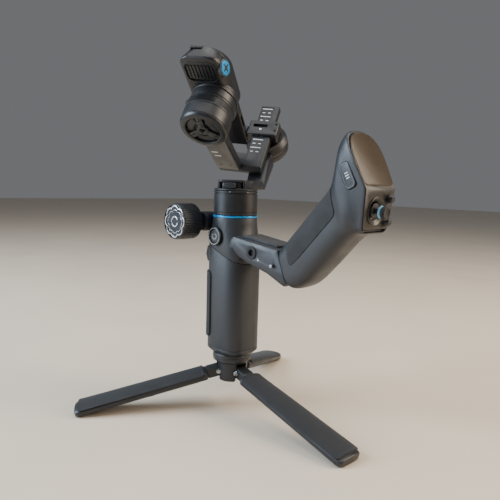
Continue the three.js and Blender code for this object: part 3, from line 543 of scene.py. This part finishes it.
SEAM_POINTS = 120
# A near-black band sunk 0.6 mm inside the handle's outline: painted shade on the floor of the lower seam's groove.
seam_band = loft([[handle_outline(2 * math.pi * i / SEAM_POINTS, -0.6, z) for i in range(SEAM_POINTS)]
                  for z in (66.2, 66.9)])
piece("handle_lower_seam", seam_band, DEVICE, "handle", "rubber", bevel=0, material=PAINTED_RECESS_SHADE)

# ------------------------------------------------------------------ head: pad, button, port and hand wheel
PAD_SLOPE = math.degrees(math.atan2(187 - 179.8, 58))
arm_top = DEVICE @ shift(49.6, 0, 183.65) @ turn(PAD_SLOPE, "Y")


def arm_pad_relief(u, v, depth):
    if depth < 2:
        return 0.0
    return -0.45 + 0.4 * max(0.0, math.cos(2 * math.pi * u / 3.1))


arm_pad = pad(lambda u, v, lift: (u, v, lift), (-24.4, 24.4), (-12.9, 12.9), (156, 26), 3, 1.75, arm_pad_relief,
              base=0.02)
piece("arm_ribbed_pad", arm_pad, arm_top, "handle", "rubber", bevel=0, replaces=["arm_pad"])

MODE_X, MODE_Z = -4, 185
mode_front = DEVICE @ shift(MODE_X, 0, MODE_Z) @ ALONG_MINUS_Y


def arc_strip(r0, r1, z0, z1, start, end, n=28):
    """A flat strip along an arc between two radii, from one angle to another in degrees."""
    angles = [math.radians(start + (end - start) * i / n) for i in range(n + 1)]
    outline = [(r1 * math.cos(a), r1 * math.sin(a)) for a in angles]
    outline += [(r0 * math.cos(a), r0 * math.sin(a)) for a in reversed(angles)]
    return prism(outline, z0, z1)


piece("mode_button_edge", ring_lathe([(7.9, 25.1), (8.0, 25.75), (8.5, 25.75), (8.6, 25.1)], 72), mode_front, "handle",
      "silver_metal", bevel=0)
mark = joined(arc_strip(2.7, 3.4, 24.6, 24.95, 125, 415), box(-0.35, 0.35, 1.4, 4.2, 24.6, 24.95))
piece("mode_button_mark", mark, mode_front, "mode_button", "silver_metal", bevel=0)
port_mark = joined(box(53.2, 55.4, -19.12, -18.9, 166.2, 167.0), box(53.2, 54.0, -19.12, -18.9, 167.6, 168.4))
piece("port_mark", port_mark, DEVICE, "handle", "silver_metal", bevel=0, material=WHITE_MARK)

WHEEL_X, WHEEL_Z = -42, 198
wheel_place = DEVICE @ shift(WHEEL_X, 0, WHEEL_Z) @ ALONG_MINUS_Y


def knurl(count, depth):
    return lambda a: depth * (0.5 + 0.5 * math.cos(count * a))


rim = ring_lathe([(4, 20), (4, 22.2), (11, 24), (17, 24), (18.2, 24.6), (18.6, 25.6, 1), (18.6, 45.4, 1), (18.5, 46.8),
                  (18.1, 47.7), (17.6, 47.9), (17.3, 47.5), (17.2, 45.3), (3, 45.3), (3, 20)], 288, knurl(48, 0.38))
piece("wheel_knurled_rim", rim, wheel_place, "wheel", "grey_metal", bevel=0, replaces=["wheel_rim"],
      material=SLOT_MATERIALS["body_black"])


PETALS, PETAL_SHAPE, PETAL_POINTS = 8, 0.7, 160


def flower(r, depth):
    """A scalloped outline that reaches r and dips by depth between its petals."""
    points = []
    for i in range(PETAL_POINTS):
        a = 2 * math.pi * i / PETAL_POINTS
        bulge = abs(math.cos(PETALS * a / 2)) ** PETAL_SHAPE
        points.append(((r - depth + depth * bulge) * math.cos(a), (r - depth + depth * bulge) * math.sin(a)))
    return points


def outline_ring(outer, inner, z0, z1):
    """The flat ring between two outlines of equally many points."""
    n = len(outer)
    rings = [[(x, y, z0) for x, y in outer], [(x, y, z1) for x, y in outer], [(x, y, z1) for x, y in inner],
             [(x, y, z0) for x, y in inner]]
    verts = [p for ring in rings for p in ring]
    faces = [[k * n + i, k * n + (i + 1) % n, (k + 1) % 4 * n + (i + 1) % n, (k + 1) % 4 * n + i]
             for k in range(4) for i in range(n)]
    return verts, faces


WHEEL_GREY = new_material("wheel_face_grey", (0.035, 0.04, 0.05), 0.38, metallic=0.6, bump=0.1)
disc_face = solid_lathe([(17.0, 45.35), (17.0, 46.5), (16.7, 46.8)], 96)
piece("wheel_face_disc", disc_face, wheel_place, "wheel", "silver_metal", bevel=0, replaces=["wheel_face"],
      material=WHEEL_GREY)
trim = joined(outline_ring(flower(17.0, 2.6), flower(15.7, 2.6), 46.6, 47.6),
              outline_ring(flower(12.4, 1.7), flower(11.9, 1.7), 46.6, 47.1),
              arc_strip(4.4, 5.8, 46.6, 47.5, 20, 190), arc_strip(4.4, 5.8, 46.6, 47.5, 205, 350))
BRIGHT = new_material("bright_trim", (0.78, 0.8, 0.83), 0.22, metallic=0.75, bump=0.05)
piece("wheel_face_trim", trim, wheel_place, "wheel", "silver_metal", bevel=0.08, material=BRIGHT)

# ------------------------------------------------------------------ sling grip and control head
FACE_TOP, FACE_BEND, FACE_BOTTOM = (148.6, 283.9), (171.5, 237.5), (168, 205)
HEAD_MIDDLE_Y, HEAD_MIDDLE_Z, HEAD_HALF_Y, HEAD_HALF_Z = 1.5, 243, 25, 42


def face_x(z):
    (x0, z0), (x1, z1) = (FACE_TOP, FACE_BEND) if z > FACE_BEND[1] else (FACE_BEND, FACE_BOTTOM)
    return x0 + (x1 - x0) * (z - z0) / (z1 - z0)


def head_half_width(z):
    return 19.3 + 4.7 * (z - 208) / 50


def head_outline():
    """The control head's outline seen from behind, as y from its middle and z."""
    points = [(-12.3, 201), (12.3, 201)]
    for i in range(1, 9):
        t = i / 8
        w = head_half_width(208)
        points.append(((1 - t) ** 2 * (w - 7) + 2 * t * (1 - t) * w + t * t * w, 201 + 7 * t * t))
    points.append((head_half_width(258), 258))
    start, pull, flat, end = (head_half_width(258), 258), (25.2, 277.5), (18, 285), (0, 285)
    arch = []
    for i in range(1, 17):
        t = i / 16
        weights = ((1 - t) ** 3, 3 * t * (1 - t) ** 2, 3 * t * t * (1 - t), t ** 3)
        arch.append(tuple(sum(w * p[k] for w, p in zip(weights, (start, pull, flat, end))) for k in (0, 1)))
    right = points[1:] + arch
    return right + [(-y, z) for y, z in reversed(right[:-1])]


SECTION_POINTS = 112
PARALLEL, TINY = 1e-12, 1e-9


def unit_outline(outline):
    """The outline sampled by direction from its middle, scaled to run from -1 to 1."""
    scaled = [(y / HEAD_HALF_Y, (z - HEAD_MIDDLE_Z) / HEAD_HALF_Z) for y, z in outline]
    samples = []
    for i in range(SECTION_POINTS):
        a = 2 * math.pi * i / SECTION_POINTS
        d = (math.cos(a), math.sin(a))
        best = None
        for k in range(len(scaled)):
            p, q = scaled[k], scaled[(k + 1) % len(scaled)]
            e = (q[0] - p[0], q[1] - p[1])
            cross = d[0] * e[1] - d[1] * e[0]
            if abs(cross) < PARALLEL:
                continue
            far = (p[0] * e[1] - p[1] * e[0]) / cross
            along_edge = (p[0] * d[1] - p[1] * d[0]) / cross
            if far > 0 and -TINY <= along_edge <= 1 + TINY and (best is None or far > best):
                best = far
        samples.append((d[0] * best, d[1] * best))
    return samples


HEAD_SHAPE = unit_outline(head_outline())
GRIP_POWER = 3.6


def grip_shape():
    samples = []
    for i in range(SECTION_POINTS):
        a = 2 * math.pi * i / SECTION_POINTS
        c, s = math.cos(a), math.sin(a)
        far = (abs(c) ** GRIP_POWER + abs(s) ** GRIP_POWER) ** (-1 / GRIP_POWER)
        samples.append((far * c, far * s))
    return samples


GRIP_SHAPE = grip_shape()
# Each station: upper edge x, z; lower edge x, z; middle in y; half width; share of the head's outline.
GRIP_STATIONS = [
    (77.5, 181.0, 91.8, 145.0, 0, 19.0, 0), (80.5, 184.2, 94.6, 144.6, 0, 19.3, 0),
    (85.5, 189.3, 99.5, 145.8, 0, 19.5, 0), (94, 198.6, 110, 152.0, 0, 19.5, 0),
    (110, 216, 126, 167.7, 0, 19.5, 0), (124, 231.2, 140, 183.1, 0, 19.5, 0),
    (132.4, 241.6, 149, 193.0, 0.2, 20.2, 0.03), (136.6, 255.5, 156, 198.6, 0.8, 22.7, 0.08),
    (139.4, 275.0, 161.5, 200.6, 1.2, 23.5, 0.2), (143.8, 283.4, 165.3, 201.2, 1.5, 24.2, 0.55)]


def smooth_stations(table, steps):
    """The rows joined by a smooth curve through all of them."""
    rows = []
    for k in range(len(table) - 1):
        before, start = table[max(0, k - 1)], table[k]
        end, after = table[k + 1], table[min(len(table) - 1, k + 2)]
        for i in range(steps):
            t = i / steps
            rows.append(tuple(
                0.5 * (2 * b + (c - a) * t + (2 * a - 5 * b + 4 * c - d) * t * t + (3 * b - a - 3 * c + d) * t ** 3)
                for a, b, c, d in zip(before, start, end, after)))
    rows.append(table[-1])
    return rows


def grip_ring(row, shrink=1.0):
    ux, uz, lx, lz, middle, half, share = row
    ring = []
    for (gy, gh), (hy, hh) in zip(GRIP_SHAPE, HEAD_SHAPE):
        y, h = gy + (hy - gy) * share, gh + (hh - gh) * share
        ring.append(((ux + lx) / 2 + (ux - lx) / 2 * h * shrink, middle + half * y * shrink,
                     (uz + lz) / 2 + (uz - lz) / 2 * h * shrink))
    return ring


def face_ring(inset, shrink):
    ring = []
    for y, h in HEAD_SHAPE:
        z = HEAD_MIDDLE_Z + HEAD_HALF_Z * h * shrink
        ring.append((face_x(z) - inset, HEAD_MIDDLE_Y + HEAD_HALF_Y * y * shrink, z))
    return ring


sling_rows = smooth_stations(GRIP_STATIONS, 6)
sling_rings = [grip_ring(sling_rows[0], 0.975)] + [grip_ring(row) for row in sling_rows[1:]]
sling_rings += [face_ring(3.4, 1.0), face_ring(1.6, 1.0), face_ring(0.9, 0.99), face_ring(0.8, 0.972),
                face_ring(3.6, 0.95)]
SIDE_BUTTON_AT, SIDE_BUTTON_LEAN = (154.3, -22.2, 247.8), 63
side_button_frame = shift(*SIDE_BUTTON_AT) @ turn(SIDE_BUTTON_LEAN, "Y") @ ALONG_MINUS_Y
side_well = moved(prism(rounded(-11.4, 11.4, -5.4, 5.4, 3.4, 8), -3.4, 6), side_button_frame)
sling = carved(loft(sling_rings), [side_well])
piece("sling_grip_shell", sling, DEVICE, "handle", "body_black", bevel=0, replaces=["grip_shell", "control_shell"])


SIDE_STEPS, SIDE_HALF = 40, 24


def grip_side(side):
    """The surface of one side of the grip, for pad()."""
    rows = smooth_stations(GRIP_STATIONS, SIDE_STEPS)

    def surface(u, v, lift):
        """u counts tenths of a station along the grip; v runs across it, from -SIDE_HALF to SIDE_HALF."""
        along_rows = u / 10 * SIDE_STEPS
        k = min(int(along_rows), len(rows) - 2)
        t = along_rows - k
        ux, uz, lx, lz, middle, half, _ = [a + (b - a) * t for a, b in zip(rows[k], rows[k + 1])]
        h = max(-0.999, min(0.999, v / SIDE_HALF))
        y = half * (1 - abs(h) ** GRIP_POWER) ** (1 / GRIP_POWER)
        return ((ux + lx) / 2 + (ux - lx) / 2 * h, middle + side * (y + lift), (uz + lz) / 2 + (uz - lz) / 2 * h)
    return surface


for side, name in ((-1, "left"), (1, "right")):
    soft = pad(grip_side(side), (21, 62), (-3, 21.3), (60, 26), 4, 0.6, None, base=-0.5, edge=0.9)
    piece(f"grip_soft_{name}", soft, DEVICE, "handle", "rubber", bevel=0, replaces=[f"grip_pad_{name}"])

BEND, LOWER_END = [Vector((x, 0, z)) for x, z in (FACE_BEND, FACE_BOTTOM)]
along_face = (LOWER_END - BEND).normalized()
face_out = Vector((-along_face.z, 0, along_face.x))


def on_face(y, z):
    """The frame on the lower half of the control face: x runs down it, z out of it."""
    at = BEND + along_face * ((BEND.z - z) / -along_face.z) + Vector((0, y, 0))
    m = Matrix((along_face, (0, 1, 0), face_out)).transposed().to_4x4()
    m.translation = at
    return DEVICE @ m


stick_place = on_face(-2, 220)
up_face = Vector((FACE_TOP[0] - FACE_BEND[0], 0, FACE_TOP[1] - FACE_BEND[1])).normalized()
upper_face = Matrix(((0, 1, 0), up_face, (up_face.z, 0, -up_face.x))).transposed().to_4x4()
upper_face.translation = BEND
SCREEN_BOTTOM, SCREEN_SHARE, SCREEN_MIDDLE_Z, SCREEN_CORNER = 240.6, 0.925, 257, 5
glass = []
for y, z in head_outline():
    y, z = HEAD_MIDDLE_Y + y * SCREEN_SHARE, SCREEN_MIDDLE_Z + (z - SCREEN_MIDDLE_Z) * SCREEN_SHARE
    if z > SCREEN_BOTTOM + SCREEN_CORNER:
        glass.append((y, (z - BEND.z) / up_face.z))
low, left, right = (SCREEN_BOTTOM - BEND.z) / up_face.z, min(g[0] for g in glass), max(g[0] for g in glass)
for centre_y, first in ((left + 6, 180), (right - 6, 270)):
    for k in range(9):
        a = math.radians(first + 90 * k / 8)
        glass.append((centre_y + SCREEN_CORNER * math.cos(a), low + SCREEN_CORNER + SCREEN_CORNER * math.sin(a)))
piece("screen_cover", prism(glass, -0.7, 0.4), DEVICE @ upper_face, "handle", "screen_glass", bevel=0.3,
      replaces=["screen"])
dish = ring_lathe([(11.9, -1.2), (11.9, 0.5), (11.4, 0.95), (10.5, 0.6), (7.6, -1.5), (7.2, -2.4), (9.5, -2.4)], 96)
piece("stick_dish", dish, stick_place, "handle", "body_black", bevel=0, material=SLOT_MATERIALS["face_black"])
cap = solid_lathe([(2, -1.5), (2, 6.7), (5.0, 7.2), (5.7, 7.8, 1), (5.9, 8.6, 1), (5.7, 9.6, 1), (5.0, 10.6),
                   (4.3, 10.8), (3.2, 10.1), (1.2, 9.8)], 120, knurl(20, 0.35))
piece("stick_knurled_cap", cap, stick_place, "stick", "body_black", bevel=0, replaces=["stick_cap"],
      material=SLOT_MATERIALS["rubber"])
collar = ring_lathe([(2.3, 4.4), (4.7, 4.4), (5.2, 4.9), (5.2, 6.1), (4.7, 6.6), (2.3, 6.6)], 72)
piece("stick_blue_collar", collar, stick_place, "stick", "pale_blue", bevel=0, replaces=["stick_ring"])
button = solid_lathe([(3.4, -1.2), (3.4, 3.7), (3.1, 4.4), (2.4, 4.9), (1.2, 4.75)], 48)
for name, z in (("upper", 230), ("lower", 211)):
    piece(f"round_button_{name}_cap", button, on_face(14.6, z), f"round_button_{name}", "body_black", bevel=0,
          replaces=[f"round_button_{name}"])
side_place = DEVICE @ side_button_frame
groove = outline_ring(rounded(-10.4, 10.4, -4.4, 4.4, 2.8, 8), rounded(-9.5, 9.5, -3.5, 3.5, 2.2, 8), -0.3, 0.3)
BUTTON_GREY = new_material("side_button_grey", (0.05, 0.055, 0.065), 0.4, metallic=0.4, bump=0.08)
piece("side_button_rim", groove, side_place, "side_button", "silver_metal", bevel=0, material=BUTTON_GREY)
dash = joined(*[box(x0, x1, -1.6, 1.6, -0.1, 0.12) for x0, x1 in ((-2.6, -1.9), (-0.4, 0.3), (1.8, 2.5))])
piece("side_button_mark", dash, side_place, "side_button", "silver_metal", bevel=0, material=WHITE_MARK)

# ------------------------------------------------------------------ pan motor
stator = solid_lathe([(22.2, 206.8), (22.6, 207.2), (22.6, 209.6), (22.2, 209.8), (22.2, 210.2), (22.6, 210.4),
                      (22.6, 228.2), (21.8, 228.5), (21.8, 229.3), (22.6, 229.6), (22.6, 231.2), (22.2, 231.6)], 128)
piece("pan_stator_shell", stator, DEVICE, "handle", "motor_black", bevel=0, replaces=["pan_stator"])
dot = solid_lathe([(0.55, 21.5), (0.55, 22.75)], 16)
dots = [moved(dot, shift(0, 0, 230.6) @ turn(angle, "Z") @ ALONG_X) for angle in (-58, -11)]
piece("stator_dots", joined(*dots), DEVICE, "handle", "silver_metal", bevel=0)
base_disc = solid_lathe([(22.1, 231.95), (22.4, 232.2), (22.4, 233.6), (22.0, 234.0)], 128)
bracket_top = prism(rounded(-17.8, 18.2, -15, 15, 6, 8), 240.2, 242.7)
bracket_sides = [prism(rounded(-8, 16.5, y0, y1, 1.1, 4), 233.8, 240.4) for y0, y1 in ((-15, -11.6), (11.6, 15))]
piece("pan_rotor_disc", base_disc, PAN, "pan", "motor_black", bevel=0)
piece("pan_rotor_bracket", joined(bracket_top, *bracket_sides), PAN, "pan", "grey_metal", bevel=0.6)
inner = prism(rounded(-17.6, 16.8, -10.8, 10.8, 3, 6), 233.8, 240.0)
piece("pan_rotor_block", inner, PAN, "pan", "motor_black", bevel=0.5, replaces=["pan_rotor"])

# ------------------------------------------------------------------ roll motor, clamp and bar
roll_fixed = ROLL @ ALONG_X
roll_turning = ARM @ ALONG_X
rotor = solid_lathe([(25.9, -168.9), (26.4, -168.4), (26.4, -163.6), (26.0, -163.3), (26.0, -162.9), (26.3, -162.6),
                     (24.4, -159.2), (22.6, -157.2), (21.6, -155.6), (21.4, -153.9)], 128)
piece("roll_rotor_shell", rotor, roll_turning, "roll", "motor_black", bevel=0, replaces=["roll_rotor"])
casing = solid_lathe([(18, -178), (21.6, -177.8), (24.0, -176.2), (24.5, -175), (24.5, -169.4)], 128)
piece("roll_casing_shell", casing, roll_fixed, "pan", "motor_black", bevel=0, replaces=["roll_motor_housing"])

BAR_FRONT, CLAMP_FRONT = -141, -137.6
TICKS, FIRST_TICK, TICK_STEP = 12, -33, 6.15
tick_parts = []
for k in range(TICKS):
    l = FIRST_TICK + TICK_STEP * k
    spans = [(-9.4, 3.6)] if k % 2 == 0 else [(-8.2, -4.7), (-1.1, 2.4)]
    for u0, u1 in spans:
        tick_parts.append(box(BAR_FRONT - 0.6, BAR_FRONT - 0.38, l - 0.45, l + 0.45, u0, u1))
piece("bar_ticks", joined(*tick_parts), ARM, "cross_bar", "grey_metal", bevel=0, material=WHITE_MARK)
pointer = prism([(2.0, -4.6), (4.6, -2.8), (2.0, -1.0)], CLAMP_FRONT - 0.1, CLAMP_FRONT + 0.12)
pointer_place = ARM @ Matrix(((0, 0, 1, 0), (1, 0, 0, 0), (0, 1, 0, 0), (0, 0, 0, 1)))
piece("clamp_pointer", pointer, pointer_place, "roll", "grey_metal", bevel=0, material=WHITE_MARK)
for i, (l, u) in enumerate(((-6, 15.6), (4, 15.6), (-6, -15.6), (4, -15.6))):
    screw(f"clamp_screw_{i}", ARM @ shift(CLAMP_FRONT - 0.25, l, u) @ ALONG_X, "roll", 1.5)
knob = ring_lathe([(1.9, -20.4), (4.7, -20.5), (5.0, -21.0, 1), (5.0, -25.8, 1), (4.5, -26.5), (1.6, -26.5),
                   (1.4, -25.6)], 96, knurl(16, 0.3))
piece("clamp_knob_grip", knob, ARM @ shift(-145.5, 0, 0), "roll_clamp_knob", "body_black", bevel=0)

# ------------------------------------------------------------------ side arm and tilt motor
FOOT_F, FOOT_L, MOTOR_F, MOTOR_L = -140.7, 64.7, -50, 75.5
ARM_LEAN = math.degrees(math.atan2(MOTOR_L - FOOT_L, MOTOR_F - FOOT_F))


def on_side_arm(f, u):
    l = FOOT_L + (f - FOOT_F) * (MOTOR_L - FOOT_L) / (MOTOR_F - FOOT_F)
    return ARM @ shift(f, l, u) @ turn(ARM_LEAN, "Z") @ ALONG_Y


for i, (f, u) in enumerate(((-104, -33.7), (-111.6, -31.8))):
    piece(f"arm_mark_{i}", box(-0.55, 0.55, -3.8, 3.8, -0.1, 0.12), on_side_arm(f, u), "cross_bar", "grey_metal",
          bevel=0, material=WHITE_MARK)
for i, (f, u) in enumerate(((-132, -22), (-132, -34))):
    screw(f"arm_screw_{i}", on_side_arm(f, u) @ shift(0, 0, 0.15), "cross_bar", 1.6)

TILT_F, TILT_U = -32.5, -18
tilt_motor = ARM @ shift(TILT_F, 0, TILT_U) @ ALONG_Y
band = joined(
    ring_lathe([(23.6, 70.6), (24.35, 70.9), (24.35, 71.9), (23.6, 72.2)], 128),
    ring_lathe([(23.8, 80.2), (24.75, 80.7), (24.75, 81.9), (24.2, 82.3)], 128),
    ring_lathe([(24.3, 82.6), (24.75, 83.0), (24.75, 94.9), (24.3, 95.3)], 128))
piece("tilt_motor_bands", band, tilt_motor, "cross_bar", "motor_black", bevel=0)
motor_rim = ring_lathe([(24.4, 95.5), (24.4, 96.3), (23.2, 98.5), (22.2, 99), (18.6, 99), (17.9, 98.5),
                        (17.6, 95.9)], 128)
spokes = [moved(prism(rounded(5, 18.6, -3.3, 3.3, 1.0, 3), 95.9, 98.3), turn(a, "Z")) for a in (0, 120, 240)]
hub_face = ring_lathe([(6.4, 95.9), (6.4, 98.4), (5.9, 98.8), (3.4, 98.8), (3.0, 98.2), (2.2, 97.2), (2.2, 95.9)], 72)
face_floor = solid_lathe([(18.0, 95.6), (18.0, 96.0)], 72)
piece("tilt_motor_face", joined(motor_rim, *spokes, hub_face), tilt_motor, "cross_bar", "motor_black", bevel=0.15,
      replaces=["tilt_motor_cover"])
# The floor between the motor face's spokes is painted near-black: painted shade in the pits.
piece("tilt_motor_pits", face_floor, tilt_motor, "cross_bar", "motor_black", bevel=0, material=PAINTED_RECESS_SHADE)
for i, angle in enumerate((0, 120, 240)):
    screw(f"tilt_face_screw_{i}", tilt_motor @ turn(angle, "Z") @ shift(14, 0, 98.7), "cross_bar", 1.9, 1.0)
    plate = arc_strip(9.5, 16.5, 95.9, 97.0, angle + 24, angle + 96, 18)
    piece(f"tilt_pit_plate_{i}", plate, tilt_motor, "cross_bar", "motor_black", bevel=0.3)

# ------------------------------------------------------------------ tilt head
FACE_L, HEAD_U = 57.6, -22


def head_ring(l, f_top, u_low, u_high, r, f_bottom=-68):
    """One cross-section of the tilt head at l, with corners of radius r."""
    return [(f, l, u) for f, u in rounded(f_bottom, f_top, u_low, u_high, r, 12)]


lock_frame = shift(3.8, 50.3, 0.5) @ turn(-6, "X") @ turn(14, "Y")
housing = loft([head_ring(41.3, 21.2, -43.2, -0.8, 21.1), head_ring(41.7, 21.5, -43.5, -0.5, 21.4),
                head_ring(45, 21.6, -43.5, -0.5, 19), head_ring(49, 21.8, -43.5, -0.7, 16.5),
                head_ring(52.5, 22, -43.3, -1.4, 13.5), head_ring(55, 22, -42.7, -2.6, 11.5),
                head_ring(56.5, 21.9, -41.8, -4.2, 10), head_ring(57.3, 21.5, -41.0, -5.4, 9),
                head_ring(57.6, 20.9, -40.2, -6.2, 8.3, -66)])
wells = [moved(solid_lathe([(9.2, -3.8), (9.2, 12)], 64), lock_frame),
         moved(prism(rounded(-7.5, 14.5, -14, 16, 6, 8), 55.6, 60), shift(0, 0, HEAD_U) @ ALONG_Y),
         box(16.8, 26, 41.9, 46.4, -33.6, -20.4)]
piece("tilt_head_shell", carved(housing, wells), ARM, "tilt", "motor_black", bevel=0, replaces=["tilt_housing"])
collar = solid_lathe([(23.2, 52), (23.5, 57.0), (24.2, 57.6), (24.2, 59.6), (23.2, 60.0), (22.9, 60.6), (23.5, 61.0),
                      (23.5, 68.4), (22.9, 68.8), (22.9, 69.4), (23.4, 69.8), (23.2, 70.1)], 128)
piece("tilt_head_collar", collar, tilt_motor, "tilt", "motor_black", bevel=0)


BACK_L, BACK_DEPTH = 29.6, 11.4


def back_ring(l, inset):
    """One cross-section of the back cover, whose top slopes up towards the seam."""
    top = 9.0 + (l - BACK_L) / BACK_DEPTH * 12.0
    return head_ring(l, top - inset, -43.1 + inset, -0.9 - inset, 20.9 - inset, -67.6 + inset)


back = loft([back_ring(l, inset) for l, inset in (
    (29.6, 2.6), (29.9, 1.4), (30.6, 0.6), (31.8, 0.1), (33, 0), (40.6, 0), (41.0, 0.3))])
rail_way = box(-73, 2, 30.7, 39.7, -35.8, -5.7)
piece("tilt_back_shell", carved(back, [rail_way]), ARM, "tilt", "motor_black", bevel=0,
      replaces=["tilt_housing_back"])
head_face = ARM @ shift(0, FACE_L, 0) @ ALONG_Y
fin_frame = outline_ring([(x, -y) for x, y in rounded(-9.2, 16.2, HEAD_U - 17.7, HEAD_U + 15.7, 7.4, 8)],
                         [(x, -y) for x, y in rounded(-7.9, 14.9, HEAD_U - 16.4, HEAD_U + 14.4, 6.3, 8)], -0.4, 0.35)
piece("fin_bezel", fin_frame, head_face, "tilt", "motor_black", bevel=0.2)
lock_place = ARM @ lock_frame
lock_rim = ring_lathe([(2.9, -10.6), (2.9, -3.4), (7.9, -3.4), (8.5, -2.9, 1), (8.5, -0.6, 1), (8.1, 0), (7.3, 0.1),
                       (7.0, -0.7), (1.5, -0.7), (1.5, -10.6)], 160, knurl(40, 0.28))
piece("lock_knob_rim", lock_rim, lock_place, "rail_lock_knob", "blue_metal", bevel=0, replaces=["rail_lock_knob"],
      material=SLOT_MATERIALS["body_black"])
lock_face = solid_lathe([(7.0, -0.8), (7.0, 0.25), (6.4, 0.75), (3.0, 0.85), (1.0, 0.85)], 72)
piece("lock_knob_face", lock_face, lock_place, "rail_lock_knob", "blue_metal", bevel=0)
# A flat near-black cross on the knob's face: painted shade standing in for a recessed cross.
cross = joined(box(-4.6, 4.6, -0.8, 0.8, 0.5, 0.95), box(-0.8, 0.8, -4.6, 4.6, 0.5, 0.94),
               solid_lathe([(2.1, 0.5), (2.1, 1.0)], 32))
piece("lock_knob_cross", cross, lock_place, "rail_lock_knob", "blue_metal", bevel=0.1, material=PAINTED_RECESS_SHADE)
for i, (f, u) in enumerate(((-62, -34), (-62, -10))):
    screw(f"head_screw_{i}", ARM @ shift(f, FACE_L + 0.05, u) @ ALONG_Y, "tilt", 1.7)
nub = solid_lathe([(1.2, -1), (1.2, 0.4), (0.8, 0.8)], 20)
for i, f in enumerate((-119, -116)):
    piece(f"rail_nub_{i}", nub, ARM @ shift(f, 35.2, -6), "camera_rail", "grey_metal", bevel=0,
          material=SLOT_MATERIALS["motor_black"])

# ------------------------------------------------------------------ floor, light and camera
floor_mesh = bpy.data.meshes.new("floor")
FLOOR_HALF = 6               # metres
floor_mesh.from_pydata([(x * FLOOR_HALF, y * FLOOR_HALF, 0) for x, y in ((-1, -1), (1, -1), (1, 1), (-1, 1))], [],
                       [[0, 1, 2, 3]])
floor = bpy.data.objects.new("floor", floor_mesh)
bpy.context.scene.collection.objects.link(floor)
floor_mesh.materials.append(new_material("pale_floor", (0.7, 0.6, 0.48), 0.5, variation=0.02, patches=3, grain=300,
                                         bump=0.02))


def area_light(name, at, target, size, power, tint):
    """A soft rectangular lamp at one point that faces another, in metres and watts."""
    data = bpy.data.lights.new(name, "AREA")
    data.shape = "RECTANGLE"
    data.size, data.size_y = size
    data.energy = power
    data.color = tint
    lamp = bpy.data.objects.new(name, data)
    lamp.location = at
    lamp.rotation_mode = "QUATERNION"
    lamp.rotation_quaternion = (Vector(target) - Vector(at)).to_track_quat("-Z", "Y")
    bpy.context.scene.collection.objects.link(lamp)


area_light("window_left", (-0.9, -1.3, 0.9), (0, 0, 0.2), (1.0, 1.3), 58, (0.72, 0.86, 1.0))
area_light("warm_right", (1.1, 0.9, 0.9), (0, 0, 0.25), (0.8, 1.1), 32, (1.0, 0.84, 0.66))
area_light("ceiling", (0.1, 0.0, 1.7), (0, 0, 0), (1.6, 1.6), 22, (1.0, 0.97, 0.93))
world = bpy.data.worlds.new("room")
world.use_nodes = True
world.node_tree.nodes["Background"].inputs["Color"].default_value = colour(0.78, 0.8, 0.84)
world.node_tree.nodes["Background"].inputs["Strength"].default_value = 0.2
bpy.context.scene.world = world

SENSOR, LENS = 36, 37.37     # millimetres
CAMERA_AT, CAMERA_LOOK, CAMERA_UP = (0.4006, -0.3671, 0.2384), (-0.711, 0.692, -0.125), (-0.11, 0.067, 0.992)
camera_data = bpy.data.cameras.new("camera")
camera_data.sensor_width, camera_data.lens = SENSOR, LENS
camera = bpy.data.objects.new("camera", camera_data)
bpy.context.scene.collection.objects.link(camera)
camera.location = SHIFT + Vector(CAMERA_AT)
look = Vector(CAMERA_LOOK).normalized()
right = look.cross(Vector(CAMERA_UP)).normalized()
camera.rotation_mode = "QUATERNION"
camera.rotation_quaternion = Matrix((right, right.cross(look), -look)).transposed().to_quaternion()
camera_data.clip_start, camera_data.clip_end = 0.01, 50
bpy.context.scene.camera = camera
